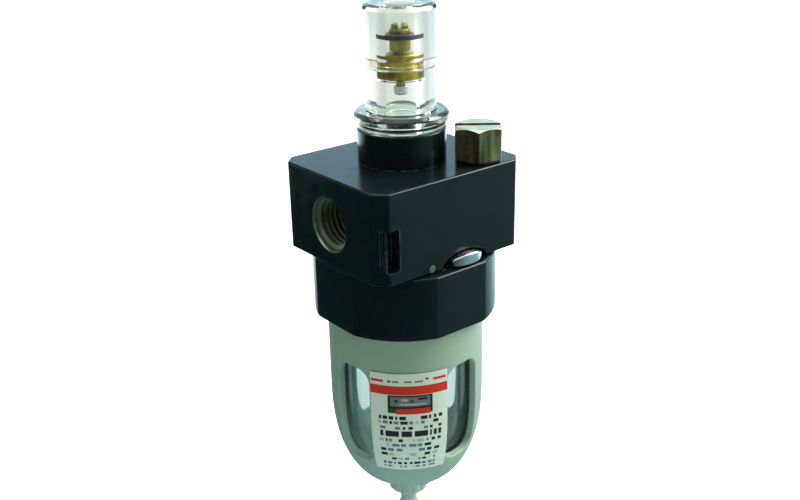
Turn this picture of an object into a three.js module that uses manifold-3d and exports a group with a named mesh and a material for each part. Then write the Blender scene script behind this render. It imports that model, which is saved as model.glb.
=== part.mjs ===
// A miniature airline lubricator with 1/4 inch pipe ports, as an assembly of separate pieces.
// Millimetres, +Z up. The origin is where the port axis crosses the vertical axis of the body.
// Air flows along +X, and the front face, with the bowl lock, looks along -Y.
import * as THREE from 'three';
import { mergeVertices } from 'three/addons/utils/BufferGeometryUtils.js';
import Module from 'manifold-3d';

const wasm = await Module();
wasm.setup();

// ---------------------------------------------------------------- driving dimensions
const SIDES = 24;                 // facets of an ordinary round piece
const GUARD_SIDES = 32;           // facets of the bowl, its guard and its clamp ring
const SMALL_SIDES = 16;           // facets of a small turned piece
const GAP = 0.3;                  // assembly gap between neighbouring pieces
const RUNNING = 0.12;             // radial clearance of small turned fits

const BLOCK = { halfLength: 22.55, halfDepth: 19.55, low: -10.5, top: 11.85, corner: 2.9 };
const NECK = { radius: 10.85, top: 20.0, bore: 7.1, boreFloor: 10.0, seat: 9.6, seatFloor: 18.7 };
const DRIP_HOLE = 3.0;            // radius of the hole from the dome's chamber to the air passage
const SPIGOT = { outer: 18.8, inner: 16.7, bottom: -22.9 };
const PORT = { mouth: 6.4, root: 5.9, depth: 10.9, countersink: 0.45 };
const PASSAGE = 5.6;              // radius of the air passage between the ports
const POCKET = { outer: -20.1, inner: -16.8, depth: 16.5, low: -7.3, high: 3.0 };
const NICK = { outer: -21.3, inner: -20.5, depth: 17.9, low: -6.6, high: 3.0 };
const PIN = { x: 2.2, z: 0.7, radius: 0.5, bore: 0.6, halfLength: 4.3 };
const VENTURI = { half: 1.2, throat: 1.2, throatZ: 3.4, ear: 3.95 };
const GALLERY = { y: 8.95, radius: 0.9, top: 15.0, cross: 14.2, crossRadius: 0.7, socket: 2.6 };

const DOME = { bottom: 11.0, spigot: 6.8, radius: 8.5, top: 34.85 };
const DOME_FLANGE = { radius: 11.6, low: 20.3, step: 21.9, top: 24.3, collar: 10.95 };
const CAP = { radius: 8.8, low: 35.15, top: 49.5, bore: 3.55, edge: 1.2 };
const DRIP_BORE = 3.8;            // radius of the chamber that the drops fall through
const DRIP_TIP = { outer: 1.7, low: 28.2, high: 30.3 };
const RISER = { y: 5.3, radius: 0.6, outlet: 33.0 };
const VALVE = { radius: 3.4, low: 32.0, waistLow: 34.2, waistTop: 34.9, top: 38.0, spout: 1.1 };
const SPOUT_END = 28.4;
const NEEDLE = { thread: 1.55, body: 2.5, groove: 2.05, head: 2.05, top: 44.8, ringHeight: 42.0 };
const NEEDLE_SLOT = { halfWidth: 0.45, depth: 1.1, turn: -38 };

const PLUG = { x: 12.6, y: -13.5, flats: 11.0, seat: 12.65, top: 20.65, turn: -130, chamfer: 0.62 };
const PLUG_SLOT = { halfWidth: 1.0, depth: 1.8 };
const PLUG_SHANK = { radius: 3.4, bottom: 4.85, drill: 1.6, drillDepth: 3.0 };
const PLUG_GASKET = { outer: 5.2, low: 12.0, high: 12.5 };
const FILL_HOLE = { floor: 3.0, channel: 1.5, foot: [10.4, -9.6, -12.0] };
const ARCH = { x: 3.0, halfWidth: 7.15, height: 3.5, floor: -10.6, back: -14.6 };
const CATCH = { x: 3.2, halfWidth: 4.7, low: -10.45, high: -7.55, front: -21.8, back: -17.2 };
const CATCH_SPRING = { bore: 1.15, z: -8.85, radius: 0.75, wire: 0.18, front: -16.9, back: -9.7 };
const MARK = { x: -7.4, z: -9.35, radius: 0.95, near: 0.05, far: 0.25 };

const RING = { radius: 23.16, halfWidth: 22.0, top: -10.8, bottom: -26.9, bore: 19.2 };
const GUARD = { radius: 20.0, wall: 1.8, top: -27.2, bend: -49.4, bottom: -77.7, tip: 4.2, power: 2.31 };
const GUARD_NECK = { outer: 18.9, inner: 17.9, top: -25.5 };
const GUARD_HOLE = 6.3;           // radius of the hole that the drain comes out of
const WINDOW = { top: -37.5, bottom: -65.0, width: 10.9, corner: 4.0, turn: -82.6, count: 4 };
const LABEL = { turn: -127.0, halfAngle: 28.2, top: -37.1, bottom: -66.0, near: 0.1, far: 0.25 };

const BOWL = { neck: 16.3, neckInner: 13.4, top: -13.0, flange: 18.6, wall: 2.2 };
const BOWL_FLANGE = { high: -23.2, low: -25.2 };
const BOWL_GROOVE = { radius: 14.7, high: -17.2, low: -19.4 };
const BOWL_GAP = 0.5;             // between the bowl and the inside of its guard
const DRAIN = { hole: 3.2, stem: 2.9, bore: 1.0, flange: 5.2, flangeTop: -76.1, flangeLow: -77.6 };
const DRAIN_NUT = { flats: 8.6, low: -72.6, high: -70.0 };
const KNOB = { radius: 5.5, high: -78.0, low: -82.7, stem: 2.4, bottom: -90.0, lobes: 6 };

const SIPHON = { tube: 2.6, bore: 1.85, top: -13.9, straight: -20.0, bend: -56.0, end: -61.7, footY: 6.4 };
const FILTER = { radius: 3.9, low: -68.3, high: -59.3, socketFloor: -62.1 };
const CHECK = { x: -8.8, hole: 1.2, socket: 2.6, socketTop: -8.2, bottom: -16.0, ballZ: -10.15 };
const CHECK_SPRING = { radius: 1.05, wire: 0.2, low: -15.15, high: -11.35 };
const BALL = 1.15;                // radius of both check balls
const SIPHON_BALL_Z = -12.1;

// Each seal ring: the radius of its centre line, of its section, and its height.
const SEAL = {
  dome: [8.4, 0.7, 19.45],
  needle: [2.78, 0.55, NEEDLE.ringHeight],
  bowl: [15.6, 0.85, -18.3],
  drain: [1.9, 0.38, -80.45],
};

// ---------------------------------------------------------------- solid helpers

// A closed geometry as a manifold-3d solid with its faces turned outwards.
function toSolid(geometry) {
  const loose = geometry.index ? geometry.toNonIndexed() : geometry.clone();
  const bare = new THREE.BufferGeometry().setAttribute('position', loose.getAttribute('position'));
  const merged = mergeVertices(bare, 1e-4);
  const points = merged.getAttribute('position').array;
  const index = merged.index.array;
  const corners = [];
  let volume = 0;
  for (let i = 0; i < index.length; i += 3) {
    const [a, b, c] = [index[i], index[i + 1], index[i + 2]];
    if (a === b || b === c || c === a) continue;
    corners.push(a, b, c);
    const [pa, pb, pc] = [a, b, c].map((k) => new THREE.Vector3().fromArray(points, 3 * k));
    volume += pa.dot(pb.cross(pc));
  }
  if (volume < 0) corners.reverse();
  return new wasm.Manifold(new wasm.Mesh({
    numProp: 3,
    vertProperties: new Float32Array(points),
    triVerts: new Uint32Array(corners),
  }));
}

// A manifold-3d solid as a three.js geometry.
function toGeometry(solid) {
  const { vertProperties, triVerts } = solid.getMesh();
  const geometry = new THREE.BufferGeometry();
  geometry.setAttribute('position', new THREE.BufferAttribute(new Float32Array(vertProperties), 3));
  geometry.setIndex(new THREE.BufferAttribute(new Uint32Array(triVerts), 1));
  return geometry;
}

// The first geometry with all the others cut away from it.
function cut(geometry, ...tools) {
  return toGeometry(tools.reduce((solid, tool) => solid.subtract(toSolid(tool)), toSolid(geometry)));
}

// All the geometries joined into one body.
function join(geometry, ...others) {
  return toGeometry(others.reduce((solid, other) => solid.add(toSolid(other)), toSolid(geometry)));
}

// What two geometries have in common.
function common(geometry, other) {
  return toGeometry(toSolid(geometry).intersect(toSolid(other)));
}

// A body of revolution about Z from an outline of [radius, height] points.
function turned(outline, sides = SIDES) {
  const points = outline.map(([radius, height]) => new THREE.Vector2(radius, height));
  const openOutline = outline[0][0] === 0 && outline[outline.length - 1][0] === 0;
  if (!openOutline) points.push(points[0].clone());
  return new THREE.LatheGeometry(points, sides).rotateX(Math.PI / 2);
}

// A solid round bar along Z.
function bar(radius, low, high, sides = SIDES) {
  return turned([[0, low], [radius, low], [radius, high], [0, high]], sides);
}

// A plain round tube along Z.
function tube(inner, outer, low, high, sides = SIDES) {
  return turned([[inner, low], [outer, low], [outer, high], [inner, high]], sides);
}

// A round-section ring about Z.
function ring(radius, section, height, sides = SIDES, facets = 6) {
  const outline = [];
  for (let i = 0; i < facets; i += 1) {
    const angle = (2 * Math.PI * i) / facets;
    outline.push([radius + section * Math.cos(angle), height + section * Math.sin(angle)]);
  }
  return turned(outline, sides);
}

// Turns a piece made along Z so that it lies along X, or along Y.
const alongX = (geometry) => geometry.rotateY(Math.PI / 2);
const alongY = (geometry) => geometry.rotateX(-Math.PI / 2);

// A box between two opposite corners.
function box([x0, y0, z0], [x1, y1, z1]) {
  const geometry = new THREE.BoxGeometry(x1 - x0, y1 - y0, z1 - z0);
  return geometry.translate((x0 + x1) / 2, (y0 + y1) / 2, (z0 + z1) / 2);
}

// A flat outline pulled up along Z.
function prism(outline, low, high, curveSegments = 12) {
  const options = { depth: high - low, bevelEnabled: false, curveSegments };
  return new THREE.ExtrudeGeometry(outline, options).translate(0, 0, low);
}

// A rectangle with its corners cut off at 45 degrees.
function chamferedRectangle(halfLength, halfDepth, corner) {
  const outline = new THREE.Shape();
  outline.moveTo(halfLength - corner, -halfDepth);
  outline.lineTo(halfLength, corner - halfDepth);
  outline.lineTo(halfLength, halfDepth - corner);
  outline.lineTo(halfLength - corner, halfDepth);
  outline.lineTo(corner - halfLength, halfDepth);
  outline.lineTo(-halfLength, halfDepth - corner);
  outline.lineTo(-halfLength, corner - halfDepth);
  outline.lineTo(corner - halfLength, -halfDepth);
  return outline;
}

// A circle with four flats on it, square to X and Y.
function flattedCircle(radius, halfWidth, stepsPerArc) {
  const outline = new THREE.Shape();
  const flatEnd = Math.acos(halfWidth / radius);
  for (let quarter = 0; quarter < 4; quarter += 1) {
    for (let step = 0; step <= stepsPerArc; step += 1) {
      const along = flatEnd + (Math.PI / 2 - 2 * flatEnd) * (step / stepsPerArc);
      const angle = (quarter * Math.PI) / 2 + along;
      const [x, y] = [radius * Math.cos(angle), radius * Math.sin(angle)];
      if (quarter === 0 && step === 0) outline.moveTo(x, y);
      else outline.lineTo(x, y);
    }
  }
  return outline;
}

// A hexagonal bar along Z, with a corner at the given angle.
function hexagon(flats, low, high, turn = 0) {
  const bodyOfSix = bar(flats / Math.sqrt(3), low, high, 6);
  return bodyOfSix.rotateZ(THREE.MathUtils.degToRad(turn + 90));
}

// A bar between two points.
function barBetween(from, to, radius, sides = 12) {
  const start = new THREE.Vector3(...from);
  const way = new THREE.Vector3(...to).sub(start);
  const up = new THREE.Vector3(0, 0, 1);
  const facing = new THREE.Quaternion().setFromUnitVectors(up, way.clone().normalize());
  return bar(radius, 0, way.length(), sides).applyQuaternion(facing).translate(...from);
}

// A coil spring along Z, as an eight-step-a-turn helix of square-cut wire.
function coil(radius, wire, low, high, turns) {
  const points = [];
  const steps = turns * 8;
  for (let i = 0; i <= steps; i += 1) {
    const angle = (2 * Math.PI * i) / 8;
    const height = THREE.MathUtils.lerp(low + wire, high - wire, i / steps);
    points.push(new THREE.Vector3(radius * Math.cos(angle), radius * Math.sin(angle), height));
  }
  const section = new THREE.Shape().absarc(0, 0, wire, 0, 2 * Math.PI);
  const path = new THREE.CatmullRomCurve3(points);
  return new THREE.ExtrudeGeometry(section, { steps, curveSegments: 2, extrudePath: path });
}

// ---------------------------------------------------------------- materials

function paint(color, roughness, metalness) {
  return new THREE.MeshStandardMaterial({ color, roughness, metalness });
}

const blackPaint = () => paint(0x0b0e12, 0.35, 0.2);
const greyPaint = () => paint(0x9aa592, 0.45, 0.2);
const clearPlastic = () => paint(0xdfe6e0, 0.08, 0.0);
const brass = () => paint(0xa8873c, 0.35, 1.0);
const plated = () => paint(0xc3ccd8, 0.25, 1.0);
const steel = () => paint(0x8a8d90, 0.3, 1.0);
const rubber = () => paint(0x141414, 0.6, 0.0);
const nylon = () => paint(0xd9ddd0, 0.4, 0.0);
const bronze = () => paint(0x8d6a3c, 0.7, 0.8);
const labelFilm = () => paint(0xded9c4, 0.5, 0.0);
const greenPaint = () => paint(0x4f7a4a, 0.5, 0.0);

const lubricator = new THREE.Group();

function add(name, geometry, material) {
  const mesh = new THREE.Mesh(toGeometry(toSolid(geometry)), material);
  mesh.name = name;
  lubricator.add(mesh);
  return mesh;
}

// ---------------------------------------------------------------- body casting

// The two tapered pipe ports, side +1 for the outlet and -1 for the inlet.
function portBore(side) {
  const { mouth, root, depth, countersink } = PORT;
  const outside = 1.0;
  const bore = turned([
    [0, BLOCK.halfLength - depth],
    [root, BLOCK.halfLength - depth],
    [mouth, BLOCK.halfLength - countersink],
    [mouth + countersink, BLOCK.halfLength],
    [mouth + countersink, BLOCK.halfLength + outside],
    [0, BLOCK.halfLength + outside],
  ]);
  return alongX(bore).rotateZ(side > 0 ? 0 : Math.PI);
}

// A box cut into one of the two upright corners of the inlet end: the pocket, or the nick beside it.
function cornerCut({ outer, inner, depth, low, high }, side) {
  const [near, far] = [depth, BLOCK.halfDepth + 0.5];
  const [front, back] = side < 0 ? [-far, -near] : [near, far];
  return box([outer, front, low], [inner, back, high]);
}

function archRecess() {
  const outline = new THREE.Shape();
  outline.absellipse(ARCH.x, 0, ARCH.halfWidth, ARCH.height, 0, Math.PI);
  const depth = BLOCK.halfDepth + 0.5 + ARCH.back;
  const recess = new THREE.ExtrudeGeometry(outline, { depth, bevelEnabled: false, curveSegments: 12 });
  return recess.rotateX(Math.PI / 2).translate(0, ARCH.back, ARCH.floor);
}

function bodyCasting() {
  const { halfLength, halfDepth, low, top, corner } = BLOCK;
  const block = prism(chamferedRectangle(halfLength, halfDepth, corner), low, top);
  const root = 0.8;
  const neck = bar(NECK.radius, top - root, NECK.top);
  const spigot = turned([
    [SPIGOT.inner, SPIGOT.bottom],
    [SPIGOT.outer, SPIGOT.bottom],
    [SPIGOT.outer, low],
    [SPIGOT.outer - 1.0, low],
    [SPIGOT.outer - 1.0, low + root],
    [SPIGOT.inner, low + root],
  ], GUARD_SIDES);
  const above = NECK.top + 1.0;
  const below = low - 0.1;
  const passageEnd = halfLength - PORT.depth + 0.5;
  const { floor, channel, foot } = FILL_HOLE;
  const springHole = alongY(bar(CATCH_SPRING.bore, ARCH.back - 0.5, CATCH_SPRING.back + 0.2, 12));
  return cut(
    join(block, neck, spigot),
    portBore(+1),
    portBore(-1),
    alongX(bar(PASSAGE, -passageEnd, passageEnd)),
    bar(NECK.bore, NECK.boreFloor, above),
    bar(NECK.seat, NECK.seatFloor, above),
    bar(DRIP_HOLE, 0, NECK.boreFloor + 0.5, SMALL_SIDES),
    bar(GALLERY.radius, below, GALLERY.top, 8).translate(0, GALLERY.y, 0),
    alongY(bar(GALLERY.crossRadius, NECK.bore - 0.6, GALLERY.y, 8)).translate(0, 0, GALLERY.cross),
    bar(GALLERY.socket, below, -7.0, SMALL_SIDES).translate(0, GALLERY.y, 0),
    bar(CHECK.hole, below, -5.5, 12).translate(CHECK.x, 0, 0),
    bar(CHECK.socket, below, CHECK.socketTop, SMALL_SIDES).translate(CHECK.x, 0, 0),
    bar(PLUG_SHANK.radius + 0.2, floor, above).translate(PLUG.x, PLUG.y, 0),
    barBetween([PLUG.x, PLUG.y, floor + 1], foot, channel),
    archRecess(),
    springHole.translate(CATCH.x, 0, CATCH_SPRING.z),
    cornerCut(POCKET, -1),
    cornerCut(POCKET, +1),
    cornerCut(NICK, -1),
    cornerCut(NICK, +1),
  );
}

// ---------------------------------------------------------------- sight dome and needle valve

function sightDome() {
  const body = turned([
    [DRIP_BORE, DOME.bottom],
    [DOME.spigot - 0.5, DOME.bottom],
    [DOME.spigot, DOME.bottom + 0.5],
    [DOME.spigot, DOME_FLANGE.low],
    [DOME_FLANGE.collar - 0.4, DOME_FLANGE.low],
    [DOME_FLANGE.collar, DOME_FLANGE.low + 0.4],
    [DOME_FLANGE.collar, DOME_FLANGE.step],
    [DOME_FLANGE.radius - 0.3, DOME_FLANGE.step],
    [DOME_FLANGE.radius, DOME_FLANGE.step + 0.3],
    [DOME_FLANGE.radius, DOME_FLANGE.top - 1.0],
    [DOME_FLANGE.radius - 1.0, DOME_FLANGE.top],
    [DOME.radius, DOME_FLANGE.top],
    [DOME.radius, DOME.top],
    [VALVE.radius + RUNNING, DOME.top],
    [VALVE.radius + RUNNING, VALVE.low - 0.1],
    [DRIP_BORE, VALVE.low - 0.4],
  ]);
  const { y, radius, outlet } = RISER;
  const inlet = GALLERY.cross;
  return cut(
    body,
    bar(radius, inlet - radius, outlet + 0.5, 8).translate(0, y, 0),
    alongY(bar(radius - 0.05, y, DOME.spigot + 1, 8)).translate(0, 0, inlet),
    alongY(bar(radius - 0.1, VALVE.radius - 0.5, y, 8)).translate(0, 0, outlet),
  );
}

function domeCap() {
  return turned([
    [CAP.bore, CAP.low],
    [CAP.radius, CAP.low],
    [CAP.radius, CAP.top - CAP.edge],
    [CAP.radius - CAP.edge * 0.3, CAP.top - CAP.edge * 0.3],
    [CAP.radius - CAP.edge, CAP.top],
    [CAP.bore + 0.5, CAP.top],
    [CAP.bore, CAP.top - 0.5],
  ]);
}

function valveBody() {
  const dripHole = 0.6;
  const needleBore = NEEDLE.thread + 0.2;
  const body = turned([
    [dripHole, SPOUT_END],
    [VALVE.spout, SPOUT_END],
    [VALVE.spout, VALVE.low],
    [VALVE.radius, VALVE.low],
    [VALVE.radius, VALVE.waistLow],
    [VALVE.radius - 0.8, VALVE.waistLow + 0.1],
    [VALVE.radius - 0.8, VALVE.waistTop - 0.1],
    [VALVE.radius, VALVE.waistTop],
    [VALVE.radius, VALVE.top],
    [needleBore, VALVE.top],
    [needleBore, VALVE.waistTop - 0.1],
    [0.95, VALVE.waistTop - 0.4],
    [0.95, 33.5],
    [dripHole, 33.0],
  ], SMALL_SIDES);
  return cut(body, alongY(bar(0.45, 0.3, VALVE.radius + 1, 8)).translate(0, 0, 33.2));
}

function dripTip() {
  return tube(VALVE.spout + 0.1, DRIP_TIP.outer, DRIP_TIP.low, DRIP_TIP.high, SMALL_SIDES);
}

function needleScrew() {
  const { thread, body, groove, head, top, ringHeight } = NEEDLE;
  const grooveHalf = 0.75;
  const screw = turned([
    [0, 33.8],
    [0.65, 34.8],
    [0.65, 35.1],
    [thread, 35.3],
    [thread, 38.4],
    [body, 38.7],
    [body, ringHeight - grooveHalf],
    [groove, ringHeight - grooveHalf],
    [groove, ringHeight + grooveHalf],
    [body, ringHeight + grooveHalf],
    [body, 43.5],
    [head, 43.7],
    [head, top - 0.3],
    [head - 0.3, top],
    [0, top],
  ], SMALL_SIDES);
  const { halfWidth, depth, turn } = NEEDLE_SLOT;
  const slot = box([-halfWidth, -3, top - depth], [halfWidth, 3, top + 1]);
  return cut(screw, slot.rotateZ(THREE.MathUtils.degToRad(turn)));
}

// ---------------------------------------------------------------- air passage

// The clearance hole for the flapper's pin.
function pinBore() {
  return alongY(bar(PIN.bore, -PIN.halfLength - 1, PIN.halfLength + 1, 12)).translate(PIN.x, 0, PIN.z);
}

// One of the two ears that hold the flapper's pin.
function pinEar(side) {
  const [middle, thickness, reach] = [side * VENTURI.ear, 0.45, 0.9];
  const near = [VENTURI.half - 0.2, middle - thickness, PIN.z - reach];
  const far = [PIN.x + reach, middle + thickness, PIN.z + reach];
  return box(near, far);
}

function venturiInsert() {
  const { half, throat, throatZ } = VENTURI;
  return cut(
    join(alongX(bar(PASSAGE - RUNNING, -half, half)), pinEar(-1), pinEar(+1)),
    alongX(bar(throat, -half - 1, half + 1, 12)).translate(0, 0, throatZ),
    bar(throat / 2, throatZ, PASSAGE + 1, 8),
    box([-half - 1, -2.5, -3.9], [half + 1, 2.5, -0.6]),
    pinBore(),
  );
}

function bypassFlapper() {
  const knuckle = alongY(bar(0.88, -3.2, 3.2, SMALL_SIDES)).translate(PIN.x, 0, PIN.z);
  const vane = box([1.55, -3.0, -4.4], [2.05, 3.0, PIN.z]);
  return cut(join(knuckle, vane), pinBore());
}

function flapperPin() {
  return alongY(bar(PIN.radius, -PIN.halfLength, PIN.halfLength, 12)).translate(PIN.x, 0, PIN.z);
}

// ---------------------------------------------------------------- siphon

function siphonFitting() {
  const seat = -13.0;
  const shoulder = BLOCK.low - GAP;
  const shank = turned([
    [0.8, -18.4],
    [1.5, -18.4],
    [1.7, -17.6],
    [1.5, -16.8],
    [1.5, -13.6],
    [3.0, -13.6],
    [3.0, shoulder],
    [2.45, shoulder + 0.1],
    [2.45, -7.4],
    [0.8, -7.4],
    [0.8, -9.2],
    [1.45, -9.6],
    [1.45, seat],
    [0.8, seat - 0.3],
  ], SMALL_SIDES);
  const head = cut(hexagon(7.0, -13.6, shoulder), bar(2.2, -14, -10, SMALL_SIDES));
  return join(shank, head).translate(0, GALLERY.y, 0);
}

function checkBall(x, y, z) {
  return new THREE.SphereGeometry(BALL, 12, 8).rotateX(Math.PI / 2).translate(x, y, z);
}

// The tube hangs from the fitting, bends in towards the middle and ends upright in its filter.
function siphonTube() {
  const point = (y, z) => new THREE.Vector3(0, y, z);
  const path = new THREE.CurvePath();
  path.add(new THREE.LineCurve3(point(GALLERY.y, SIPHON.top), point(GALLERY.y, SIPHON.straight)));
  path.add(new THREE.CubicBezierCurve3(
    point(GALLERY.y, SIPHON.straight),
    point(GALLERY.y, SIPHON.straight - 14),
    point(SIPHON.footY, SIPHON.bend + 14),
    point(SIPHON.footY, SIPHON.bend),
  ));
  path.add(new THREE.LineCurve3(point(SIPHON.footY, SIPHON.bend), point(SIPHON.footY, SIPHON.end)));
  const section = new THREE.Shape().absarc(0, 0, SIPHON.tube, 0, 2 * Math.PI);
  section.holes.push(new THREE.Path().absarc(0, 0, SIPHON.bore, 0, 2 * Math.PI));
  return new THREE.ExtrudeGeometry(section, { steps: 16, curveSegments: 5, extrudePath: path });
}

function siphonFilter() {
  const { radius, low, high, socketFloor } = FILTER;
  const socket = SIPHON.tube + GAP;
  return turned([
    [0, low],
    [radius - 0.5, low],
    [radius, low + 0.5],
    [radius, high],
    [socket, high],
    [socket, socketFloor],
    [1.4, socketFloor - 0.2],
    [1.4, low + 3],
    [0, low + 3],
  ], SMALL_SIDES).translate(0, SIPHON.footY, 0);
}

// ---------------------------------------------------------------- bowl pressure check valve

function checkCartridge() {
  const shoulder = BLOCK.low - GAP;
  return turned([
    [0.7, CHECK.bottom],
    [2.8, CHECK.bottom],
    [3.4, CHECK.bottom + 0.6],
    [3.4, shoulder],
    [CHECK.socket - 0.15, shoulder + 0.1],
    [CHECK.socket - 0.15, -8.4],
    [0.8, -8.4],
    [0.8, -8.9],
    [1.6, -9.3],
    [1.6, CHECK.bottom + 0.8],
    [0.7, CHECK.bottom + 0.8],
  ], SMALL_SIDES).translate(CHECK.x, 0, 0);
}

function checkSpring() {
  const { radius, wire, low, high } = CHECK_SPRING;
  return coil(radius, wire, low, high, 4).translate(CHECK.x, 0, 0);
}

// ---------------------------------------------------------------- fill plug

function fillPlug() {
  const { flats, seat, top, turn, chamfer } = PLUG;
  const { radius, bottom, drill, drillDepth } = PLUG_SHANK;
  const { halfWidth, depth } = PLUG_SLOT;
  const corner = flats / Math.sqrt(3);
  const blunt = turned([
    [0, seat],
    [corner + 0.2, seat],
    [corner + 0.2, top - chamfer],
    [flats / 2 - 0.15, top],
    [0, top],
  ]);
  const slot = box([-corner - 1, -halfWidth, top - depth], [corner + 1, halfWidth, top + 1]);
  slot.rotateZ(THREE.MathUtils.degToRad(turn + 90));
  const head = cut(common(hexagon(flats, seat, top, turn), blunt), slot);
  const stem = cut(bar(radius, bottom, seat + 0.5), bar(drill, bottom - 1, bottom + drillDepth, 12));
  return join(head, stem).translate(PLUG.x, PLUG.y, 0);
}

function plugGasket() {
  const { outer, low, high } = PLUG_GASKET;
  return tube(PLUG_SHANK.radius + GAP, outer, low, high).translate(PLUG.x, PLUG.y, 0);
}

// ---------------------------------------------------------------- bowl, guard and clamp ring

// Radius of the guard's outside, or of a skin the given distance inside it, at a height.
function guardRadius(height, inset = 0) {
  const { radius, bend, bottom, tip, power } = GUARD;
  if (height >= bend) return radius - inset;
  const depth = Math.min((bend - height) / (bend - bottom - inset), 1);
  return tip + (radius - inset - tip) * (1 - depth ** power) ** (1 / power);
}

// Points down a skin from a start height to its lowest point.
function guardCurve(start, inset, steps = 5) {
  const lowest = GUARD.bottom + inset;
  const points = [[guardRadius(start, inset), start]];
  for (let i = 0; i <= steps; i += 1) {
    const sweep = (Math.PI / 2) * (i / steps);
    const height = GUARD.bend + (lowest - GUARD.bend) * Math.sin(sweep);
    points.push([guardRadius(height, inset), height]);
  }
  return points;
}

// The tool that cuts one rounded window through the guard.
function windowTool(turn) {
  const { top, bottom, width, corner } = WINDOW;
  const [left, right] = [-width / 2, width / 2];
  const outline = new THREE.Shape();
  outline.moveTo(left + corner, bottom);
  outline.lineTo(right - corner, bottom);
  outline.absarc(right - corner, bottom + corner, corner, -Math.PI / 2, 0);
  outline.absarc(right - corner, top - corner, corner, 0, Math.PI / 2);
  outline.absarc(left + corner, top - corner, corner, Math.PI / 2, Math.PI);
  outline.absarc(left + corner, bottom + corner, corner, Math.PI, 1.5 * Math.PI);
  const options = { depth: GUARD.radius, bevelEnabled: false, curveSegments: 4 };
  const tool = new THREE.ExtrudeGeometry(outline, options).translate(0, 0, 8);
  return tool.rotateX(Math.PI / 2).rotateZ(THREE.MathUtils.degToRad(turn + 90));
}

function bowlGuard() {
  const outside = guardCurve(GUARD.top, 0);
  const inside = guardCurve(GUARD.top - 1.6, GUARD.wall).reverse();
  const shell = turned([
    [GUARD_NECK.inner, GUARD_NECK.top],
    [GUARD_NECK.outer, GUARD_NECK.top],
    [GUARD_NECK.outer, GUARD.top],
    ...outside,
    ...inside,
    [GUARD_NECK.inner, GUARD.top - 1.2],
  ], GUARD_SIDES);
  const tools = [bar(GUARD_HOLE, GUARD.bottom - 2, GUARD.bottom + 6)];
  for (let i = 0; i < WINDOW.count; i += 1) {
    tools.push(windowTool(WINDOW.turn + (360 / WINDOW.count) * i));
  }
  return cut(shell, ...tools);
}

function guardLabel() {
  const { near, far, top, bottom, turn, halfAngle } = LABEL;
  const heights = [top, GUARD.bend, -54, -58, -61, -63.5, bottom];
  const skin = turned([
    ...heights.map((height) => [guardRadius(height) + near, height]),
    ...heights.map((height) => [guardRadius(height) + far, height]).reverse(),
  ], GUARD_SIDES);
  const reach = 30;
  const half = THREE.MathUtils.degToRad(halfAngle);
  const wedge = new THREE.Shape();
  wedge.moveTo(0, 0);
  wedge.lineTo(reach * Math.cos(half), -reach * Math.sin(half));
  wedge.lineTo(reach * Math.cos(half), reach * Math.sin(half));
  const sector = prism(wedge, bottom - 1, top + 1).rotateZ(THREE.MathUtils.degToRad(turn));
  return common(skin, sector);
}

function clampRing() {
  const body = prism(flattedCircle(RING.radius, RING.halfWidth, 6), RING.bottom, RING.top);
  return cut(body, bar(RING.bore, RING.bottom - 1, RING.top + 1, GUARD_SIDES));
}

function bowl() {
  const inset = GUARD.wall + BOWL_GAP;
  const lowInset = inset + BOWL.wall;
  return cut(turned([
    [BOWL.neckInner, BOWL.top],
    [BOWL.neckInner, BOWL_FLANGE.high + 2.4],
    [guardRadius(0, lowInset), BOWL_FLANGE.high - 0.6],
    ...guardCurve(BOWL_FLANGE.high - 1.6, lowInset),
    [0, GUARD.bottom + lowInset],
    [0, GUARD.bottom + inset],
    ...guardCurve(BOWL_FLANGE.low - 0.4, inset).reverse(),
    [GUARD_NECK.inner - GAP, BOWL_FLANGE.low],
    [BOWL.flange, BOWL_FLANGE.low],
    [BOWL.flange, BOWL_FLANGE.high],
    [BOWL.neck, BOWL_FLANGE.high],
    [BOWL.neck, BOWL_GROOVE.low],
    [BOWL_GROOVE.radius, BOWL_GROOVE.low],
    [BOWL_GROOVE.radius, BOWL_GROOVE.high],
    [BOWL.neck, BOWL_GROOVE.high],
    [BOWL.neck, BOWL.top - 0.4],
    [BOWL.neck - 0.4, BOWL.top],
  ], GUARD_SIDES), bar(DRAIN.hole, GUARD.bottom, -68));
}

// ---------------------------------------------------------------- drain

function drainBody() {
  const { stem, bore, flange, flangeTop, flangeLow } = DRAIN;
  return turned([
    [bore, -80.0],
    [stem, -80.0],
    [stem, flangeLow],
    [flange, flangeLow],
    [flange, flangeTop],
    [stem, flangeTop],
    [stem, -68.6],
    [bore, -68.6],
  ], SMALL_SIDES);
}

function drainGasket() {
  const low = DRAIN.flangeTop + 0.15;
  return tube(DRAIN.stem + GAP, DRAIN.flange - 0.2, low, low + 0.45, SMALL_SIDES);
}

function drainNut() {
  const { flats, low, high } = DRAIN_NUT;
  return cut(hexagon(flats, low, high), bar(DRAIN.stem + GAP, low - 1, high + 1, SMALL_SIDES));
}

function drainKnob() {
  const { radius, high, low, stem, bottom, lobes } = KNOB;
  const socket = DRAIN.stem + GAP;
  const body = turned([
    [DRAIN.bore, bottom],
    [stem - 0.4, bottom],
    [stem + 0.35, bottom + 1.6],
    [stem - 0.3, bottom + 2.2],
    [stem, low],
    [radius - 0.4, low],
    [radius, low + 0.5],
    [radius, high - 0.4],
    [radius - 0.4, high],
    [socket, high],
    [socket, -80.9],
    [DRAIN.bore, -80.9],
  ], SMALL_SIDES);
  const scallops = [];
  for (let i = 0; i < lobes; i += 1) {
    const angle = (2 * Math.PI * (i + 0.5)) / lobes;
    const scallop = bar(1.3, low - 1, high + 1, 8);
    scallops.push(scallop.translate((radius + 0.6) * Math.cos(angle), (radius + 0.6) * Math.sin(angle), 0));
  }
  return cut(body, ...scallops);
}

// ---------------------------------------------------------------- bowl lock

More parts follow.
